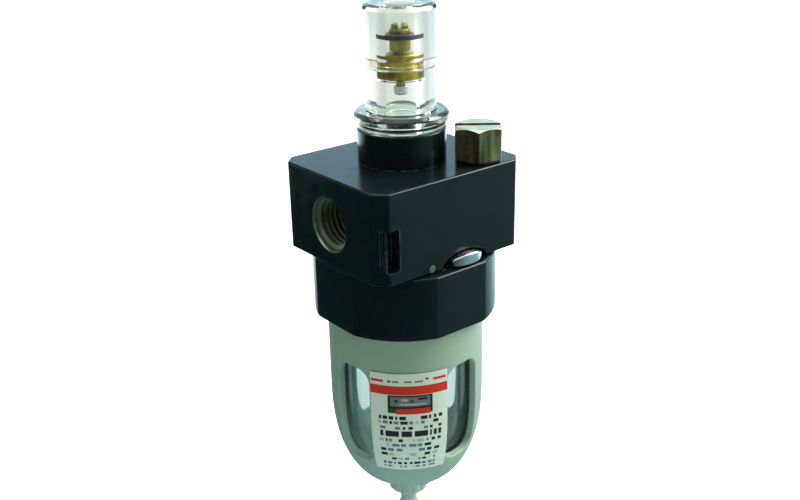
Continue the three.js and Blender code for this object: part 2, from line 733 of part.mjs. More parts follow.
function lockCatch() {
  const { x, halfWidth, low, high, front, back } = CATCH;
  const outline = new THREE.Shape();
  outline.moveTo(x - halfWidth, back);
  outline.lineTo(x - halfWidth, front + 1.6);
  outline.quadraticCurveTo(x - halfWidth * 0.8, front + 0.1, x, front);
  outline.quadraticCurveTo(x + halfWidth * 0.8, front + 0.1, x + halfWidth, front + 1.6);
  outline.lineTo(x + halfWidth, back);
  const block = prism(outline, low, high, 5);
  const crown = new THREE.Shape();
  crown.moveTo(x - halfWidth - 1, low - 1);
  crown.lineTo(x - halfWidth - 1, high - 1.4);
  crown.lineTo(x - halfWidth, high - 1.4);
  crown.quadraticCurveTo(x, high + 1.4, x + halfWidth, high - 1.4);
  crown.lineTo(x + halfWidth + 1, high - 1.4);
  crown.lineTo(x + halfWidth + 1, low - 1);
  const depth = 8;
  const options = { depth, bevelEnabled: false, curveSegments: 8 };
  const dome = new THREE.ExtrudeGeometry(crown, options).rotateX(Math.PI / 2).translate(0, -15, 0);
  const springPocket = alongY(bar(CATCH_SPRING.bore, back - 1.7, back + 0.7, 12));
  return cut(common(block, dome), springPocket.translate(x, 0, CATCH_SPRING.z));
}

function catchSpring() {
  const { radius, wire, front, back, z } = CATCH_SPRING;
  return alongY(coil(radius, wire, front, back, 5)).translate(CATCH.x, 0, z);
}

function lockMark() {
  const front = -BLOCK.halfDepth;
  return alongY(bar(MARK.radius, front - MARK.far, front - MARK.near, 12)).translate(MARK.x, 0, MARK.z);
}

// ---------------------------------------------------------------- assembly

add('body_casting', bodyCasting(), blackPaint());
add('dome_seal_ring', ring(...SEAL.dome), rubber());
add('sight_dome', sightDome(), clearPlastic());
add('dome_cap', domeCap(), clearPlastic());
add('needle_valve_body', valveBody(), brass());
add('drip_tip', dripTip(), steel());
add('needle_screw', needleScrew(), brass());
add('needle_seal_ring', ring(...SEAL.needle, SMALL_SIDES), rubber());
add('venturi_insert', venturiInsert(), brass());
add('bypass_flapper', bypassFlapper(), steel());
add('flapper_pin', flapperPin(), steel());
add('siphon_fitting', siphonFitting(), brass());
add('siphon_check_ball', checkBall(0, GALLERY.y, SIPHON_BALL_Z), steel());
add('siphon_tube', siphonTube(), nylon());
add('siphon_filter', siphonFilter(), bronze());
add('pressure_check_cartridge', checkCartridge(), brass());
add('pressure_check_ball', checkBall(CHECK.x, 0, CHECK.ballZ), steel());
add('pressure_check_spring', checkSpring(), steel());
add('fill_plug', fillPlug(), brass());
add('fill_plug_gasket', plugGasket(), rubber());
add('bowl', bowl(), clearPlastic());
add('bowl_seal_ring', ring(...SEAL.bowl, GUARD_SIDES), rubber());
add('bowl_guard', bowlGuard(), greyPaint());
add('guard_label', guardLabel(), labelFilm());
add('clamp_ring', clampRing(), blackPaint());
add('drain_body', drainBody(), brass());
add('drain_gasket', drainGasket(), rubber());
add('drain_nut', drainNut(), brass());
add('drain_knob', drainKnob(), nylon());
add('drain_seal_ring', ring(...SEAL.drain, SMALL_SIDES), rubber());
add('lock_catch', lockCatch(), plated());
add('lock_catch_spring', catchSpring(), steel());
add('lock_mark', lockMark(), greenPaint());

export default lubricator;
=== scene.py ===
# A miniature airline lubricator, shown on a pale floor under soft studio light.
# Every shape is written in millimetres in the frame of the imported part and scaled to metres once.
import math
import random

import bmesh
import bpy
from mathutils import Matrix, Vector

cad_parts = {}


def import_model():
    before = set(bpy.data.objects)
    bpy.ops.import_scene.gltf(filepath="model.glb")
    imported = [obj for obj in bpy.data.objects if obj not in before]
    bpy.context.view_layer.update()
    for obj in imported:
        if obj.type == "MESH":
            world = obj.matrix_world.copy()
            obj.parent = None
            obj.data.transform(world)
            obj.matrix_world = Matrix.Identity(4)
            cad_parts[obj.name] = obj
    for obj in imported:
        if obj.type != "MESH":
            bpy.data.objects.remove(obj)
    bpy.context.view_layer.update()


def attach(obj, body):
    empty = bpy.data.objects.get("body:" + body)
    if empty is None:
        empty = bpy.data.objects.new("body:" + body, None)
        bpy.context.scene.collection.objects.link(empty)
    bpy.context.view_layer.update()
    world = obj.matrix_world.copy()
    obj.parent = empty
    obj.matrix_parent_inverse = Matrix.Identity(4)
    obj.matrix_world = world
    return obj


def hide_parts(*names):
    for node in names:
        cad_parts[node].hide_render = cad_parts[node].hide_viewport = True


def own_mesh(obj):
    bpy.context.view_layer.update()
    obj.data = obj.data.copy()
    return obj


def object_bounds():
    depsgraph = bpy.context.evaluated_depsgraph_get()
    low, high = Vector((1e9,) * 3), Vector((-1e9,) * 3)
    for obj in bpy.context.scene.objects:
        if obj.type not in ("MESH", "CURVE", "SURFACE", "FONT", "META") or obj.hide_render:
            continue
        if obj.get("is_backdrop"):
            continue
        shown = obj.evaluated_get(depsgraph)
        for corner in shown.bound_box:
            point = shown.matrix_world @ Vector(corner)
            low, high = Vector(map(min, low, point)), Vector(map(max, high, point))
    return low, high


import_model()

MM = 0.001
ROUND = 96                        # facets round an ordinary turned piece
FINE = 128                        # facets round the dome, the bowl and what touches them
FULL_TURN = 2 * math.pi
MOST_PAINTS = 4                   # material numbers that last through a cut

# Sizes and places in millimetres, turns in degrees.
BLOCK = dict(length=22.55, depth=19.55, low=-10.5, top=11.85, corner=2.9)
PORT = dict(mouth=6.4, root=5.9, depth=10.9, rim=0.45, chamfer=0.6)
THREAD = dict(pitch=1.41, height=0.95, turns=6.6, start=0.9, sunk=0.12, root=0.62, crest=0.08)
PASSAGE = 5.6
PLUG = dict(x=12.6, y=-13.5, flats=11.0, seat=12.65, top=20.65, shank=3.4, bottom=4.85, turn=-130, slot=1.0)
POCKET = dict(outer=-20.1, inner=-16.8, depth=16.5, low=-7.3, high=3.0)
NICK = dict(outer=-21.3, inner=-20.5, depth=17.9, low=-6.6, high=3.0)
NECK = dict(bore=7.1, radius=10.85, top=20.0, seat=18.7, seat_radius=9.6)
SPIGOT = dict(bore=16.7, radius=18.8, bottom=-22.9, relief=17.8)
DOME_FLANGE = dict(radius=11.6, collar=10.95, low=20.3, step=21.9, top=24.3)
VALVE_FLANGE = 3.56
RING = dict(radius=23.16, half=22.0, top=-10.8, bottom=-26.9, bore=19.2)
GUARD = dict(radius=20.0, wall=1.8, top=-27.2, neck=-25.5, neck_radius=18.9, bend=-49.4, bottom=-77.7,
             tip=4.2, power=2.31, hole=6.3)
WINDOW = dict(top=-37.5, bottom=-65.0, width=10.9, corner=4.0, turn=-82.6, count=4)
LABEL = dict(turn=-127.0, half=28.2, top=-37.1, bottom=-66.0)
BOWL_INSET = (2.3, 4.5)           # of the bowl's two skins from the guard's outside
GALLERY_Y = 8.95
SIPHON_FOOT_Y = 6.4
NEEDLE_TOP = 44.8
NEEDLE_SLOT = dict(half=0.45, depth=1.1, turn=-38.0)
PLUG_CHAMFER = 0.66
CHECK_X = -8.8
CHECK_SPRING = (-15.15, -11.35)
CHECK_BALL = 1.15
FLAPPER_PIN = (2.2, 0, 0.7)
CATCH = dict(x=3.2, half=4.7, low=-10.45, high=-7.55, front=-21.8, back=-17.2, spring_z=-8.85)
CATCH_SPRING_BORE = 1.15
ARCH = dict(x=3.0, half=7.15, height=3.5, floor=-10.6, back=-14.6)


# ---- shapes

class Shape:
    """Points, faces and each face's material number, in millimetres."""

    def __init__(self, points=(), faces=(), paint=0):
        self.points = [Vector(p) for p in points]
        self.faces = [tuple(f) for f in faces]
        self.paints = [paint] * len(self.faces)

    def add(self, other):
        start = len(self.points)
        self.points += [p.copy() for p in other.points]
        self.faces += [tuple(i + start for i in f) for f in other.faces]
        self.paints += other.paints
        return self

    def moved(self, x=0, y=0, z=0):
        return self.turned(Matrix.Translation((x, y, z)))

    def turned(self, matrix):
        self.points = [matrix @ p for p in self.points]
        return self

    def about(self, axis, degrees):
        return self.turned(Matrix.Rotation(math.radians(degrees), 4, axis))


def along_x(shape):
    return shape.about("Y", 90)


def along_y(shape):
    return shape.about("X", -90)


def polar(radius, angle, x=0.0, y=0.0):
    return x + radius * math.cos(angle), y + radius * math.sin(angle)


def grid(rows, width, start=0, closed=True):
    """Quads between rows of points. A closed row joins its last point to its first."""
    faces = []
    for i in range(rows - 1):
        a, b = start + i * width, start + (i + 1) * width
        for k in range(width if closed else width - 1):
            n = (k + 1) % width
            faces.append((a + k, a + n, b + n, b + k))
    return faces


def tube(rows, paint=0):
    """A body whose skin runs through rows of equally many points, with flat ends."""
    width = len(rows[0])
    points = [p for row in rows for p in row]
    ends = [tuple(range(width))[::-1], tuple(range(len(points) - width, len(points)))]
    return Shape(points, grid(len(rows), width) + ends, paint)


def filleted(outline, closed, steps=3):
    """An outline of (a, b) or (a, b, radius) points, with an arc at each point that has a radius."""
    flat = []
    count = len(outline)
    for i, point in enumerate(outline):
        radius = point[2] if len(point) > 2 else 0
        here = Vector(point[:2])
        if not radius or (not closed and i in (0, count - 1)):
            flat.append(tuple(here))
            continue
        before = Vector(outline[i - 1][:2]) - here
        after = Vector(outline[(i + 1) % count][:2]) - here
        opening = before.angle(after)
        if opening > 3.1:
            flat.append(tuple(here))
            continue
        reach = min(radius / math.tan(opening / 2), 0.48 * before.length, 0.48 * after.length)
        start, end = here + before.normalized() * reach, here + after.normalized() * reach
        for k in range(steps + 1):
            t = k / steps
            flat.append(tuple(start * (1 - t) ** 2 + here * 2 * t * (1 - t) + end * t * t))
    return flat


def lathe(outline, facets=ROUND, paint=0, wave=None):
    """A body of revolution about Z.

    The outline is a closed loop of (radius, height) points, or it starts and ends on the axis.
    What wave says for a radius, height and angle is added to the radius there.
    """
    on_axis = outline[0][0] == 0 and outline[-1][0] == 0
    outline = filleted(outline, closed=not on_axis)
    points, rings = [], []
    for radius, height in outline:
        if radius == 0:
            rings.append([len(points)] * facets)
            points.append((0, 0, height))
            continue
        rings.append(range(len(points), len(points) + facets))
        for k in range(facets):
            angle = FULL_TURN * k / facets
            r = radius + (wave(radius, height, angle) if wave else 0)
            points.append((*polar(r, angle), height))
    faces = []
    last = len(rings) if not on_axis else len(rings) - 1
    for i in range(last):
        a, b = rings[i], rings[(i + 1) % len(rings)]
        for k in range(facets):
            n = (k + 1) % facets
            corner = [a[k], a[n], b[n], b[k]]
            corner = [c for j, c in enumerate(corner) if c != corner[j - 1]]
            if len(corner) > 2:
                faces.append(corner)
    return Shape(points, faces, paint)


def rod(radius, low, high, facets=32, edge=0.0, paint=0):
    """A plain round bar, for cutting holes and for small pins."""
    return lathe([(0, low), (radius, low, edge), (radius, high, edge), (0, high)], facets, paint=paint)


def prism(outline, low, high):
    """A flat outline pulled up along Z."""
    count = len(outline)
    points = [(x, y, low) for x, y in outline] + [(x, y, high) for x, y in outline]
    faces = [tuple(range(count))[::-1], tuple(range(count, 2 * count))]
    faces += [(k, (k + 1) % count, count + (k + 1) % count, count + k) for k in range(count)]
    return Shape(points, faces)


def block(near, far):
    (x0, y0, z0), (x1, y1, z1) = near, far
    return prism([(x0, y0), (x1, y0), (x1, y1), (x0, y1)], z0, z1)


def hexagon(flats, turn):
    return [polar(flats / math.sqrt(3), math.radians(turn + 60 * k)) for k in range(6)]


def chamfered(half_x, half_y, corner):
    quarter = [(half_x, half_y - corner), (half_x - corner, half_y)]
    left = [(-x, y) for x, y in quarter[::-1]]
    return quarter + left + [(-x, -y) for x, y in quarter] + [(-x, -y) for x, y in left]


def torus(radius, section, height, facets=ROUND, sides=16):
    loop = [polar(section, FULL_TURN * k / sides, radius, height) for k in range(sides)]
    return lathe(loop, facets)


def sweep(path, radius, sides=16):
    """A round section carried along a list of points."""
    path = [Vector(p) for p in path]
    angles = [FULL_TURN * k / sides for k in range(sides)]
    rows = []
    side = None
    for i, here in enumerate(path):
        way = (path[min(i + 1, len(path) - 1)] - path[max(i - 1, 0)]).normalized()
        if side is None:
            side = way.orthogonal().normalized()
        side = (side - way * side.dot(way)).normalized()
        up = way.cross(side)
        rows.append([here + side * radius * math.cos(a) + up * radius * math.sin(a) for a in angles])
    return tube(rows)


def helix(radius, low, high, turns, steps=24):
    """Points of a helix about Z."""
    total = int(turns * steps)
    rise = high - low
    return [(*polar(radius, FULL_TURN * k / steps), low + rise * k / total) for k in range(total + 1)]


def weld(mesh, distance):
    """Joins points that lie within the distance in metres and turns all faces the same way."""
    work = bmesh.new()
    work.from_mesh(mesh)
    bmesh.ops.remove_doubles(work, verts=work.verts, dist=distance)
    bmesh.ops.recalc_face_normals(work, faces=work.faces)
    work.to_mesh(mesh)
    work.free()


def to_mesh(shape, name="shape"):
    mesh = bpy.data.meshes.new(name)
    mesh.from_pydata([p * MM for p in shape.points], [], shape.faces)
    for polygon, paint in zip(mesh.polygons, shape.paints):
        polygon.material_index = paint
    weld(mesh, 1e-7)
    return mesh


def from_mesh(mesh):
    shape = Shape([v.co / MM for v in mesh.vertices], [tuple(p.vertices) for p in mesh.polygons])
    shape.paints = [p.material_index for p in mesh.polygons]
    return shape


def rounded(shape, width, segments=3, limit=30):
    """The shape with every edge bevelled that turns by more than the limit in degrees."""
    mesh = to_mesh(shape)
    work = bmesh.new()
    work.from_mesh(mesh)
    edges = [e for e in work.edges if len(e.link_faces) == 2 and e.calc_face_angle(0) > math.radians(limit)]
    bmesh.ops.bevel(work, geom=edges, offset=width * MM, segments=segments, profile=0.5,
                    affect="EDGES", clamp_overlap=True, material=-1)
    work.to_mesh(mesh)
    work.free()
    result = from_mesh(mesh)
    bpy.data.meshes.remove(mesh)
    return result


def put(name, data):
    """A new object in the scene that shows the data."""
    made = bpy.data.objects.new(name, data)
    bpy.context.scene.collection.objects.link(made)
    return made


def boolean(shape, tools, operation="DIFFERENCE"):
    """The shape with each tool cut away from it. The new faces keep the tool's material number."""
    names = [f"slot{k}" for k in range(MOST_PAINTS)]
    slots = [bpy.data.materials.get(name) or bpy.data.materials.new(name) for name in names]
    made = []
    for solid in (shape, *tools):
        mesh = to_mesh(solid)
        for material in slots:
            mesh.materials.append(material)
        made.append(put("boolean", mesh))
    for tool in made[1:]:
        modifier = made[0].modifiers.new("cut", "BOOLEAN")
        modifier.operation = operation
        modifier.solver = "EXACT"
        modifier.object = tool
    depsgraph = bpy.context.evaluated_depsgraph_get()
    evaluated = bpy.data.meshes.new_from_object(made[0].evaluated_get(depsgraph))
    result = from_mesh(evaluated)
    for solid in made:
        mesh = solid.data
        bpy.data.objects.remove(solid)
        bpy.data.meshes.remove(mesh)
    bpy.data.meshes.remove(evaluated)
    return result


# ---- materials

class Paint:
    """A small builder for a node material."""

    def __init__(self, name, **sockets):
        self.material = bpy.data.materials.new(name)
        self.material.use_nodes = True
        self.tree = self.material.node_tree
        self.shader = self.tree.nodes["Principled BSDF"]
        self.output = self.tree.nodes["Material Output"]
        self.place = self.node("ShaderNodeTexCoord").outputs["Object"]
        for socket, value in sockets.items():
            self.shader.inputs[socket.replace("_", " ")].default_value = value

    def node(self, kind, inputs=None, **settings):
        made = self.tree.nodes.new(kind)
        for key, value in settings.items():
            setattr(made, key, value)
        for key, value in (inputs or {}).items():
            if isinstance(value, bpy.types.NodeSocket):
                self.tree.links.new(value, made.inputs[key])
            else:
                made.inputs[key].default_value = value
        return made

    def link(self, value, socket):
        self.tree.links.new(value, self.shader.inputs[socket])

    def stretched(self, x=1.0, y=1.0, z=1.0):
        return self.node("ShaderNodeMapping", {"Vector": self.place, "Scale": (x, y, z)}).outputs[0]

    def noise(self, scale, detail=3.0, place=None, rough=0.55):
        """Noise of so many features a metre."""
        inputs = {"Vector": place or self.place, "Scale": scale, "Detail": detail, "Roughness": rough}
        return self.node("ShaderNodeTexNoise", inputs).outputs["Fac"]

    def ranged(self, value, low, high, start=0.0, end=1.0):
        inputs = {"Value": value, "From Min": start, "From Max": end, "To Min": low, "To Max": high}
        return self.node("ShaderNodeMapRange", inputs).outputs["Result"]

    def math(self, operation, a, b=0.0):
        return self.node("ShaderNodeMath", {0: a, 1: b}, operation=operation).outputs[0]

    def mixed(self, factor, a, b):
        made = self.node("ShaderNodeMix", data_type="RGBA")
        for socket, value in ((made.inputs["Factor"], factor), (made.inputs[6], a), (made.inputs[7], b)):
            if isinstance(value, bpy.types.NodeSocket):
                self.tree.links.new(value, socket)
            else:
                socket.default_value = value if isinstance(value, float) else (*value, 1.0)
        return made.outputs[2]

    def bump(self, height, depth, strength=1.0, normal=None):
        """Relief of so many millimetres."""
        inputs = {"Height": height, "Distance": depth * MM, "Strength": strength}
        if normal is not None:
            inputs["Normal"] = normal
        return self.node("ShaderNodeBump", inputs).outputs["Normal"]

    def edges(self, radius, start=0.02, end=0.25):
        """1 at edges, fading to 0 at the radius in millimetres and on flat surfaces."""
        soft = self.node("ShaderNodeBevel", {"Radius": radius * MM}, samples=4).outputs["Normal"]
        sharp = self.node("ShaderNodeNewGeometry").outputs["Normal"]
        dot = self.node("ShaderNodeVectorMath", {0: soft, 1: sharp}, operation="DOT_PRODUCT").outputs["Value"]
        return self.ranged(self.math("SUBTRACT", 1.0, dot), 0.0, 1.0, start, end)


def black_paint():
    p = Paint("black_enamel", IOR=1.36)
    patches = p.noise(70, 2)
    tone = p.mixed(patches, (0.0035, 0.0075, 0.0080), (0.0065, 0.0125, 0.0130))
    # Lighter bluish tone at the edges where the noise allows: partly rubbed paint, partly a painted highlight
    # for the bluish glints along the block's edges.
    worn = p.math("MULTIPLY", p.edges(0.5, 0.01, 0.2), p.ranged(p.noise(420, 4), 0.0, 1.0, 0.42, 0.62))
    p.link(p.mixed(worn, tone, (0.09, 0.13, 0.15)), "Base Color")
    p.link(p.ranged(p.noise(260, 4), 0.14, 0.26, 0.3, 0.7), "Roughness")
    p.link(p.bump(p.noise(1500, 3), 0.008, 0.6, p.bump(p.noise(340, 2), 0.015, 0.5)), "Normal")
    return p.material


def bare_casting():
    p = Paint("bare_casting", Metallic=0.85)
    p.link(p.mixed(p.noise(600, 3), (0.18, 0.21, 0.13), (0.40, 0.45, 0.30)), "Base Color")
    p.link(p.ranged(p.noise(900, 3), 0.22, 0.42), "Roughness")
    p.link(p.bump(p.noise(2600, 2, p.stretched(0.2, 1, 1)), 0.01, 0.6), "Normal")
    return p.material


def grey_paint():
    p = Paint("grey_green_enamel", IOR=1.45)
    tone = p.mixed(p.noise(55, 2), (0.255, 0.345, 0.235), (0.300, 0.390, 0.275))
    worn = p.math("MULTIPLY", p.edges(0.4, 0.02, 0.3), p.ranged(p.noise(500, 4), 0.0, 1.0, 0.45, 0.65))
    p.link(p.mixed(worn, tone, (0.50, 0.52, 0.47)), "Base Color")
    p.link(p.ranged(p.noise(300, 4), 0.30, 0.46, 0.3, 0.7), "Roughness")
    p.link(p.bump(p.noise(1300, 3), 0.02, 0.6, p.bump(p.noise(280, 2), 0.05, 0.6)), "Normal")
    return p.material


def brass(name, bright, stained, dull=0.0, streak=(1.0, 1.0, 1.0)):
    p = Paint(name, Metallic=1.0)
    stain = p.ranged(p.noise(350, 5, p.stretched(*streak)), 0.0, 1.0, 0.35, 0.65)
    p.link(p.mixed(stain, bright, stained), "Base Color")
    turned = p.noise(3000, 2, p.stretched(0.06, 0.06, 1.0))
    p.link(p.ranged(turned, 0.20 + 0.1 * dull, 0.40 + 0.15 * dull, 0.3, 0.7), "Roughness")
    p.link(p.bump(turned, 0.012, 0.6, p.bump(p.noise(900, 3), 0.01, 0.4)), "Normal")
    return p.material


def metal(name, colour, low, high, grain=1800):
    p = Paint(name, Metallic=1.0)
    darker = tuple(0.72 * c for c in colour)
    p.link(p.mixed(p.noise(400, 3), darker, colour), "Base Color")
    p.link(p.ranged(p.noise(grain, 3), low, high, 0.3, 0.7), "Roughness")
    p.link(p.bump(p.noise(grain, 2), 0.006, 0.5), "Normal")
    return p.material


def rubber():
    p = Paint("rubber", IOR=1.45)
    p.link(p.mixed(p.noise(500, 3), (0.010, 0.010, 0.011), (0.022, 0.022, 0.024)), "Base Color")
    p.link(p.ranged(p.noise(800, 3), 0.40, 0.60), "Roughness")
    p.link(p.bump(p.noise(2500, 2), 0.01, 0.5), "Normal")
    return p.material


def nylon(name, dark, light):
    p = Paint(name, IOR=1.5, Subsurface_Weight=0.3, Subsurface_Scale=0.0015)
    p.shader.inputs["Subsurface Radius"].default_value = (1.0, 1.0, 0.9)
    p.link(p.mixed(p.noise(180, 3), dark, light), "Base Color")
    p.link(p.ranged(p.noise(700, 3), 0.28, 0.44), "Roughness")
    p.link(p.bump(p.noise(900, 2), 0.012, 0.5), "Normal")
    return p.material


def sintered():
    p = Paint("sintered_bronze", Metallic=0.8)
    grains = p.node("ShaderNodeTexVoronoi", {"Vector": p.place, "Scale": 2600.0}).outputs["Distance"]
    p.link(p.mixed(grains, (0.42, 0.29, 0.13), (0.12, 0.075, 0.035)), "Base Color")
    p.link(p.ranged(grains, 0.45, 0.8), "Roughness")
    p.link(p.bump(grains, 0.08, 0.9), "Normal")
    return p.material


def clear_plastic(name, tint, ripple=0.5, haze=(0.02, 0.06)):
    """Clear plastic that lets the lamps' light through to what is behind it."""
    p = Paint(name, IOR=1.55, Transmission_Weight=1.0)
    p.link(p.mixed(p.noise(60, 2), tint, tuple(min(1.0, 1.02 * c) for c in tint)), "Base Color")
    p.link(p.ranged(p.noise(500, 4), haze[0], haze[1], 0.35, 0.7), "Roughness")
    p.link(p.bump(p.noise(160, 2), 0.006, ripple), "Normal")
    through = p.node("ShaderNodeBsdfTransparent", {"Color": (*tint, 1.0)})
    shadow = p.node("ShaderNodeLightPath").outputs["Is Shadow Ray"]
    mix = p.node("ShaderNodeMixShader", {0: shadow, 1: p.shader.outputs[0], 2: through.outputs[0]})
    p.tree.links.new(mix.outputs[0], p.output.inputs["Surface"])
    return p.material


def printed(name, colour, rough=0.42):
    p = Paint(name, IOR=1.3)
    darker = tuple(0.86 * c for c in colour)
    p.link(p.mixed(p.noise(240, 4), darker, colour), "Base Color")
    p.link(p.ranged(p.noise(600, 3), rough - 0.08, rough + 0.1), "Roughness")
    p.link(p.bump(p.noise(700, 3), 0.008, 0.5), "Normal")
    return p.material


BLACK = black_paint()
BARE = bare_casting()
GREY = grey_paint()
BRASS = brass("brass", (0.72, 0.58, 0.30), (0.34, 0.25, 0.095))
DULL_BRASS = brass("plug_brass", (0.62, 0.48, 0.26), (0.12, 0.09, 0.04), 0.5, (1.0, 1.0, 0.12))
# A paler brass for the fill plug's top: partly its turned finish, partly a painted highlight for the bright
# rim round the top.
TURNED_SHEEN_BRASS = brass("turned_sheen_brass", (0.82, 0.74, 0.56), (0.62, 0.55, 0.40), 0.6)
VALVE_BRASS = brass("valve_brass", (0.30, 0.26, 0.05), (0.10, 0.085, 0.012), 0.9)
STEEL = metal("steel", (0.55, 0.56, 0.58), 0.22, 0.38)
PLATED = metal("nickel_plate", (0.95, 0.90, 0.97), 0.16, 0.30)
RUBBER = rubber()
NYLON = nylon("natural_nylon", (0.34, 0.40, 0.27), (0.46, 0.52, 0.36))
TUBE = nylon("siphon_nylon", (0.50, 0.55, 0.48), (0.66, 0.70, 0.62))
BRONZE = sintered()
CLEAR = clear_plastic("dome_plastic", (0.965, 0.985, 0.935))
# The flange's plastic is a darker, greener copy of the dome's: painted shade for the black neck seen through
# it.
SHADED_RIM_CLEAR = clear_plastic("dome_rim_shaded_plastic", (0.50, 0.62, 0.55), 0.5, (0.12, 0.24))
BOWL_CLEAR = clear_plastic("bowl_plastic", (0.80, 0.91, 0.94), 0.8)
FILM = printed("label_film", (0.66, 0.70, 0.53))
RED = printed("label_red", (0.64, 0.022, 0.0))
INK = printed("label_ink", (0.022, 0.024, 0.020))
GREY_INK = printed("label_grey", (0.15, 0.17, 0.15))
PALE_INK = printed("label_pale", (0.40, 0.43, 0.33))
GREEN_INK = printed("label_green", (0.012, 0.10, 0.025))
GREEN = printed("green_mark", (0.075, 0.13, 0.060), 0.5)


# ---- putting pieces in the frame

def piece(name, shape, materials, body, stands_for, smooth=35):
    """Makes an object of a shape, gives it its looks and lets it ride on a body of the frame.

    Edges that turn by more than smooth degrees stay sharp.
    """
    mesh = to_mesh(shape, name)
    for material in materials:
        mesh.materials.append(material)
    mesh.shade_smooth()
    mesh.set_sharp_from_angle(angle=math.radians(smooth))
    made = put(name, mesh)
    modifier = made.modifiers.new("weighted", "WEIGHTED_NORMAL")
    modifier.keep_sharp = True
    modifier.weight = 80
    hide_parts(*stands_for)
    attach(made, body)
    return made


# ---- body casting

def port_tool(side):
    """The bore of a pipe port, with a plain chamfer at its mouth."""
    end = BLOCK["length"]
    inside, outside = end - PORT["depth"], end + 2
    rim = PORT["mouth"] + PORT["rim"]
    bore = lathe([(0, inside), (PORT["root"], inside), (PORT["mouth"], end - PORT["chamfer"]), (rim, end),
                  (rim, outside), (0, outside)], paint=1)
    return along_x(bore).about("Z", 0 if side > 0 else 180)


def port_thread(side):
    """The taper thread, as one ridge that winds down the bore and fades within half a turn of its ends."""
    steps = 48
    fading = 0.5 * steps
    total = int(THREAD["turns"] * steps)
    start = BLOCK["length"] - THREAD["start"]
    root, crest = THREAD["root"], THREAD["crest"]
    rows = []
    for k in range(total + 1):
        angle = FULL_TURN * k / steps
        x = start - THREAD["pitch"] * k / steps
        share = (BLOCK["length"] - x) / PORT["depth"]
        radius = PORT["mouth"] + (PORT["root"] - PORT["mouth"]) * share + THREAD["sunk"]
        grown = THREAD["height"] * min(1.0, k / fading, (total - k) / fading + 0.02)
        profile = [(root, 0.0), (crest, -grown), (-crest, -grown), (-root, 0.0)]
        rows.append([(x + dx, *polar(radius + dr, angle)) for dx, dr in profile])
    thread = tube(rows, 1)
    return thread if side > 0 else thread.about("Z", 180)


def arch_outline():
    """The arch over the lock catch as (x, z) points, drawn out below the block."""
    x, half, floor = ARCH["x"], ARCH["half"], ARCH["floor"]
    steps = 32
    angles = [math.pi * k / steps for k in range(steps + 1)]
    outline = [(x + half * math.cos(a), floor + ARCH["height"] * math.sin(a)) for a in angles]
    return outline + [(x - half, floor - 2), (x + half, floor - 2)]


def on_catch(shape):
    """A shape that runs along Z, laid on the axis of the lock catch's spring."""
    return along_y(shape).moved(x=CATCH["x"], z=CATCH["spring_z"])


def corner_tool(box, side, edge):
    """Cuts the pocket, or the nick beside it, into an upright corner of the inlet end."""
    near, far = box["depth"], BLOCK["depth"] + 0.5
    front, back = (-far, -near) if side < 0 else (near, far)
    return rounded(block((box["outer"], front, box["low"]), (box["inner"], back, box["high"])), edge, 2)


def casting():
    low, top = BLOCK["low"], BLOCK["top"]
    above, below = 14.0, -12.0
    body = rounded(prism(chamfered(BLOCK["length"], BLOCK["depth"], BLOCK["corner"]), low, top), 0.5, 4)
    passage = BLOCK["length"] - PORT["depth"] + 0.5
    arch = prism(arch_outline(), 0, BLOCK["depth"] + 0.5 + ARCH["back"])
    arch.about("X", 90).moved(y=ARCH["back"])
    tools = [
        port_tool(+1),
        port_tool(-1),
        along_x(rod(PASSAGE, -passage, passage, 64, paint=1)),
        rod(NECK["bore"], 10.0, above, 64),
        rod(3.0, 0.0, 10.5, 48),
        rod(0.9, below, 10.5, 24).moved(y=GALLERY_Y),
        rod(2.6, below, -7, 48).moved(y=GALLERY_Y),
        rod(1.2, below, -5.5, 32).moved(x=CHECK_X),
        rod(2.6, below, -8.2, 48).moved(x=CHECK_X),
        rod(PLUG["shank"] + 0.2, 3.0, above, 48, paint=1).moved(PLUG["x"], PLUG["y"]),
        arch,
        on_catch(rod(CATCH_SPRING_BORE, -15.1, -9.5, 32)),
    ]
    for box, edge in ((POCKET, 0.35), (NICK, 0.1)):
        tools += [corner_tool(box, side, edge) for side in (-1, +1)]
    body = boolean(body, tools)
    neck = lathe([
        (NECK["bore"], top - 0.6), (NECK["radius"], top - 0.6), (NECK["radius"], NECK["top"], 0.45),
        (NECK["seat_radius"], NECK["top"], 0.25), (NECK["seat_radius"], NECK["seat"], 0.2),
        (NECK["bore"], NECK["seat"], 0.2),
    ])
    spigot = lathe([
        (SPIGOT["bore"], SPIGOT["bottom"], 0.3), (SPIGOT["radius"], SPIGOT["bottom"], 0.5),
        (SPIGOT["radius"], low + 0.2), (SPIGOT["relief"], low + 0.2), (SPIGOT["relief"], low + 0.8),
        (SPIGOT["bore"], low + 0.8),
    ])
    return body.add(neck).add(boolean(spigot, [arch])).add(port_thread(+1)).add(port_thread(-1))


piece("lubricator_casting", casting(), [BLACK, BARE], "body", ["body_casting"])


# ---- sight dome, cap and needle valve

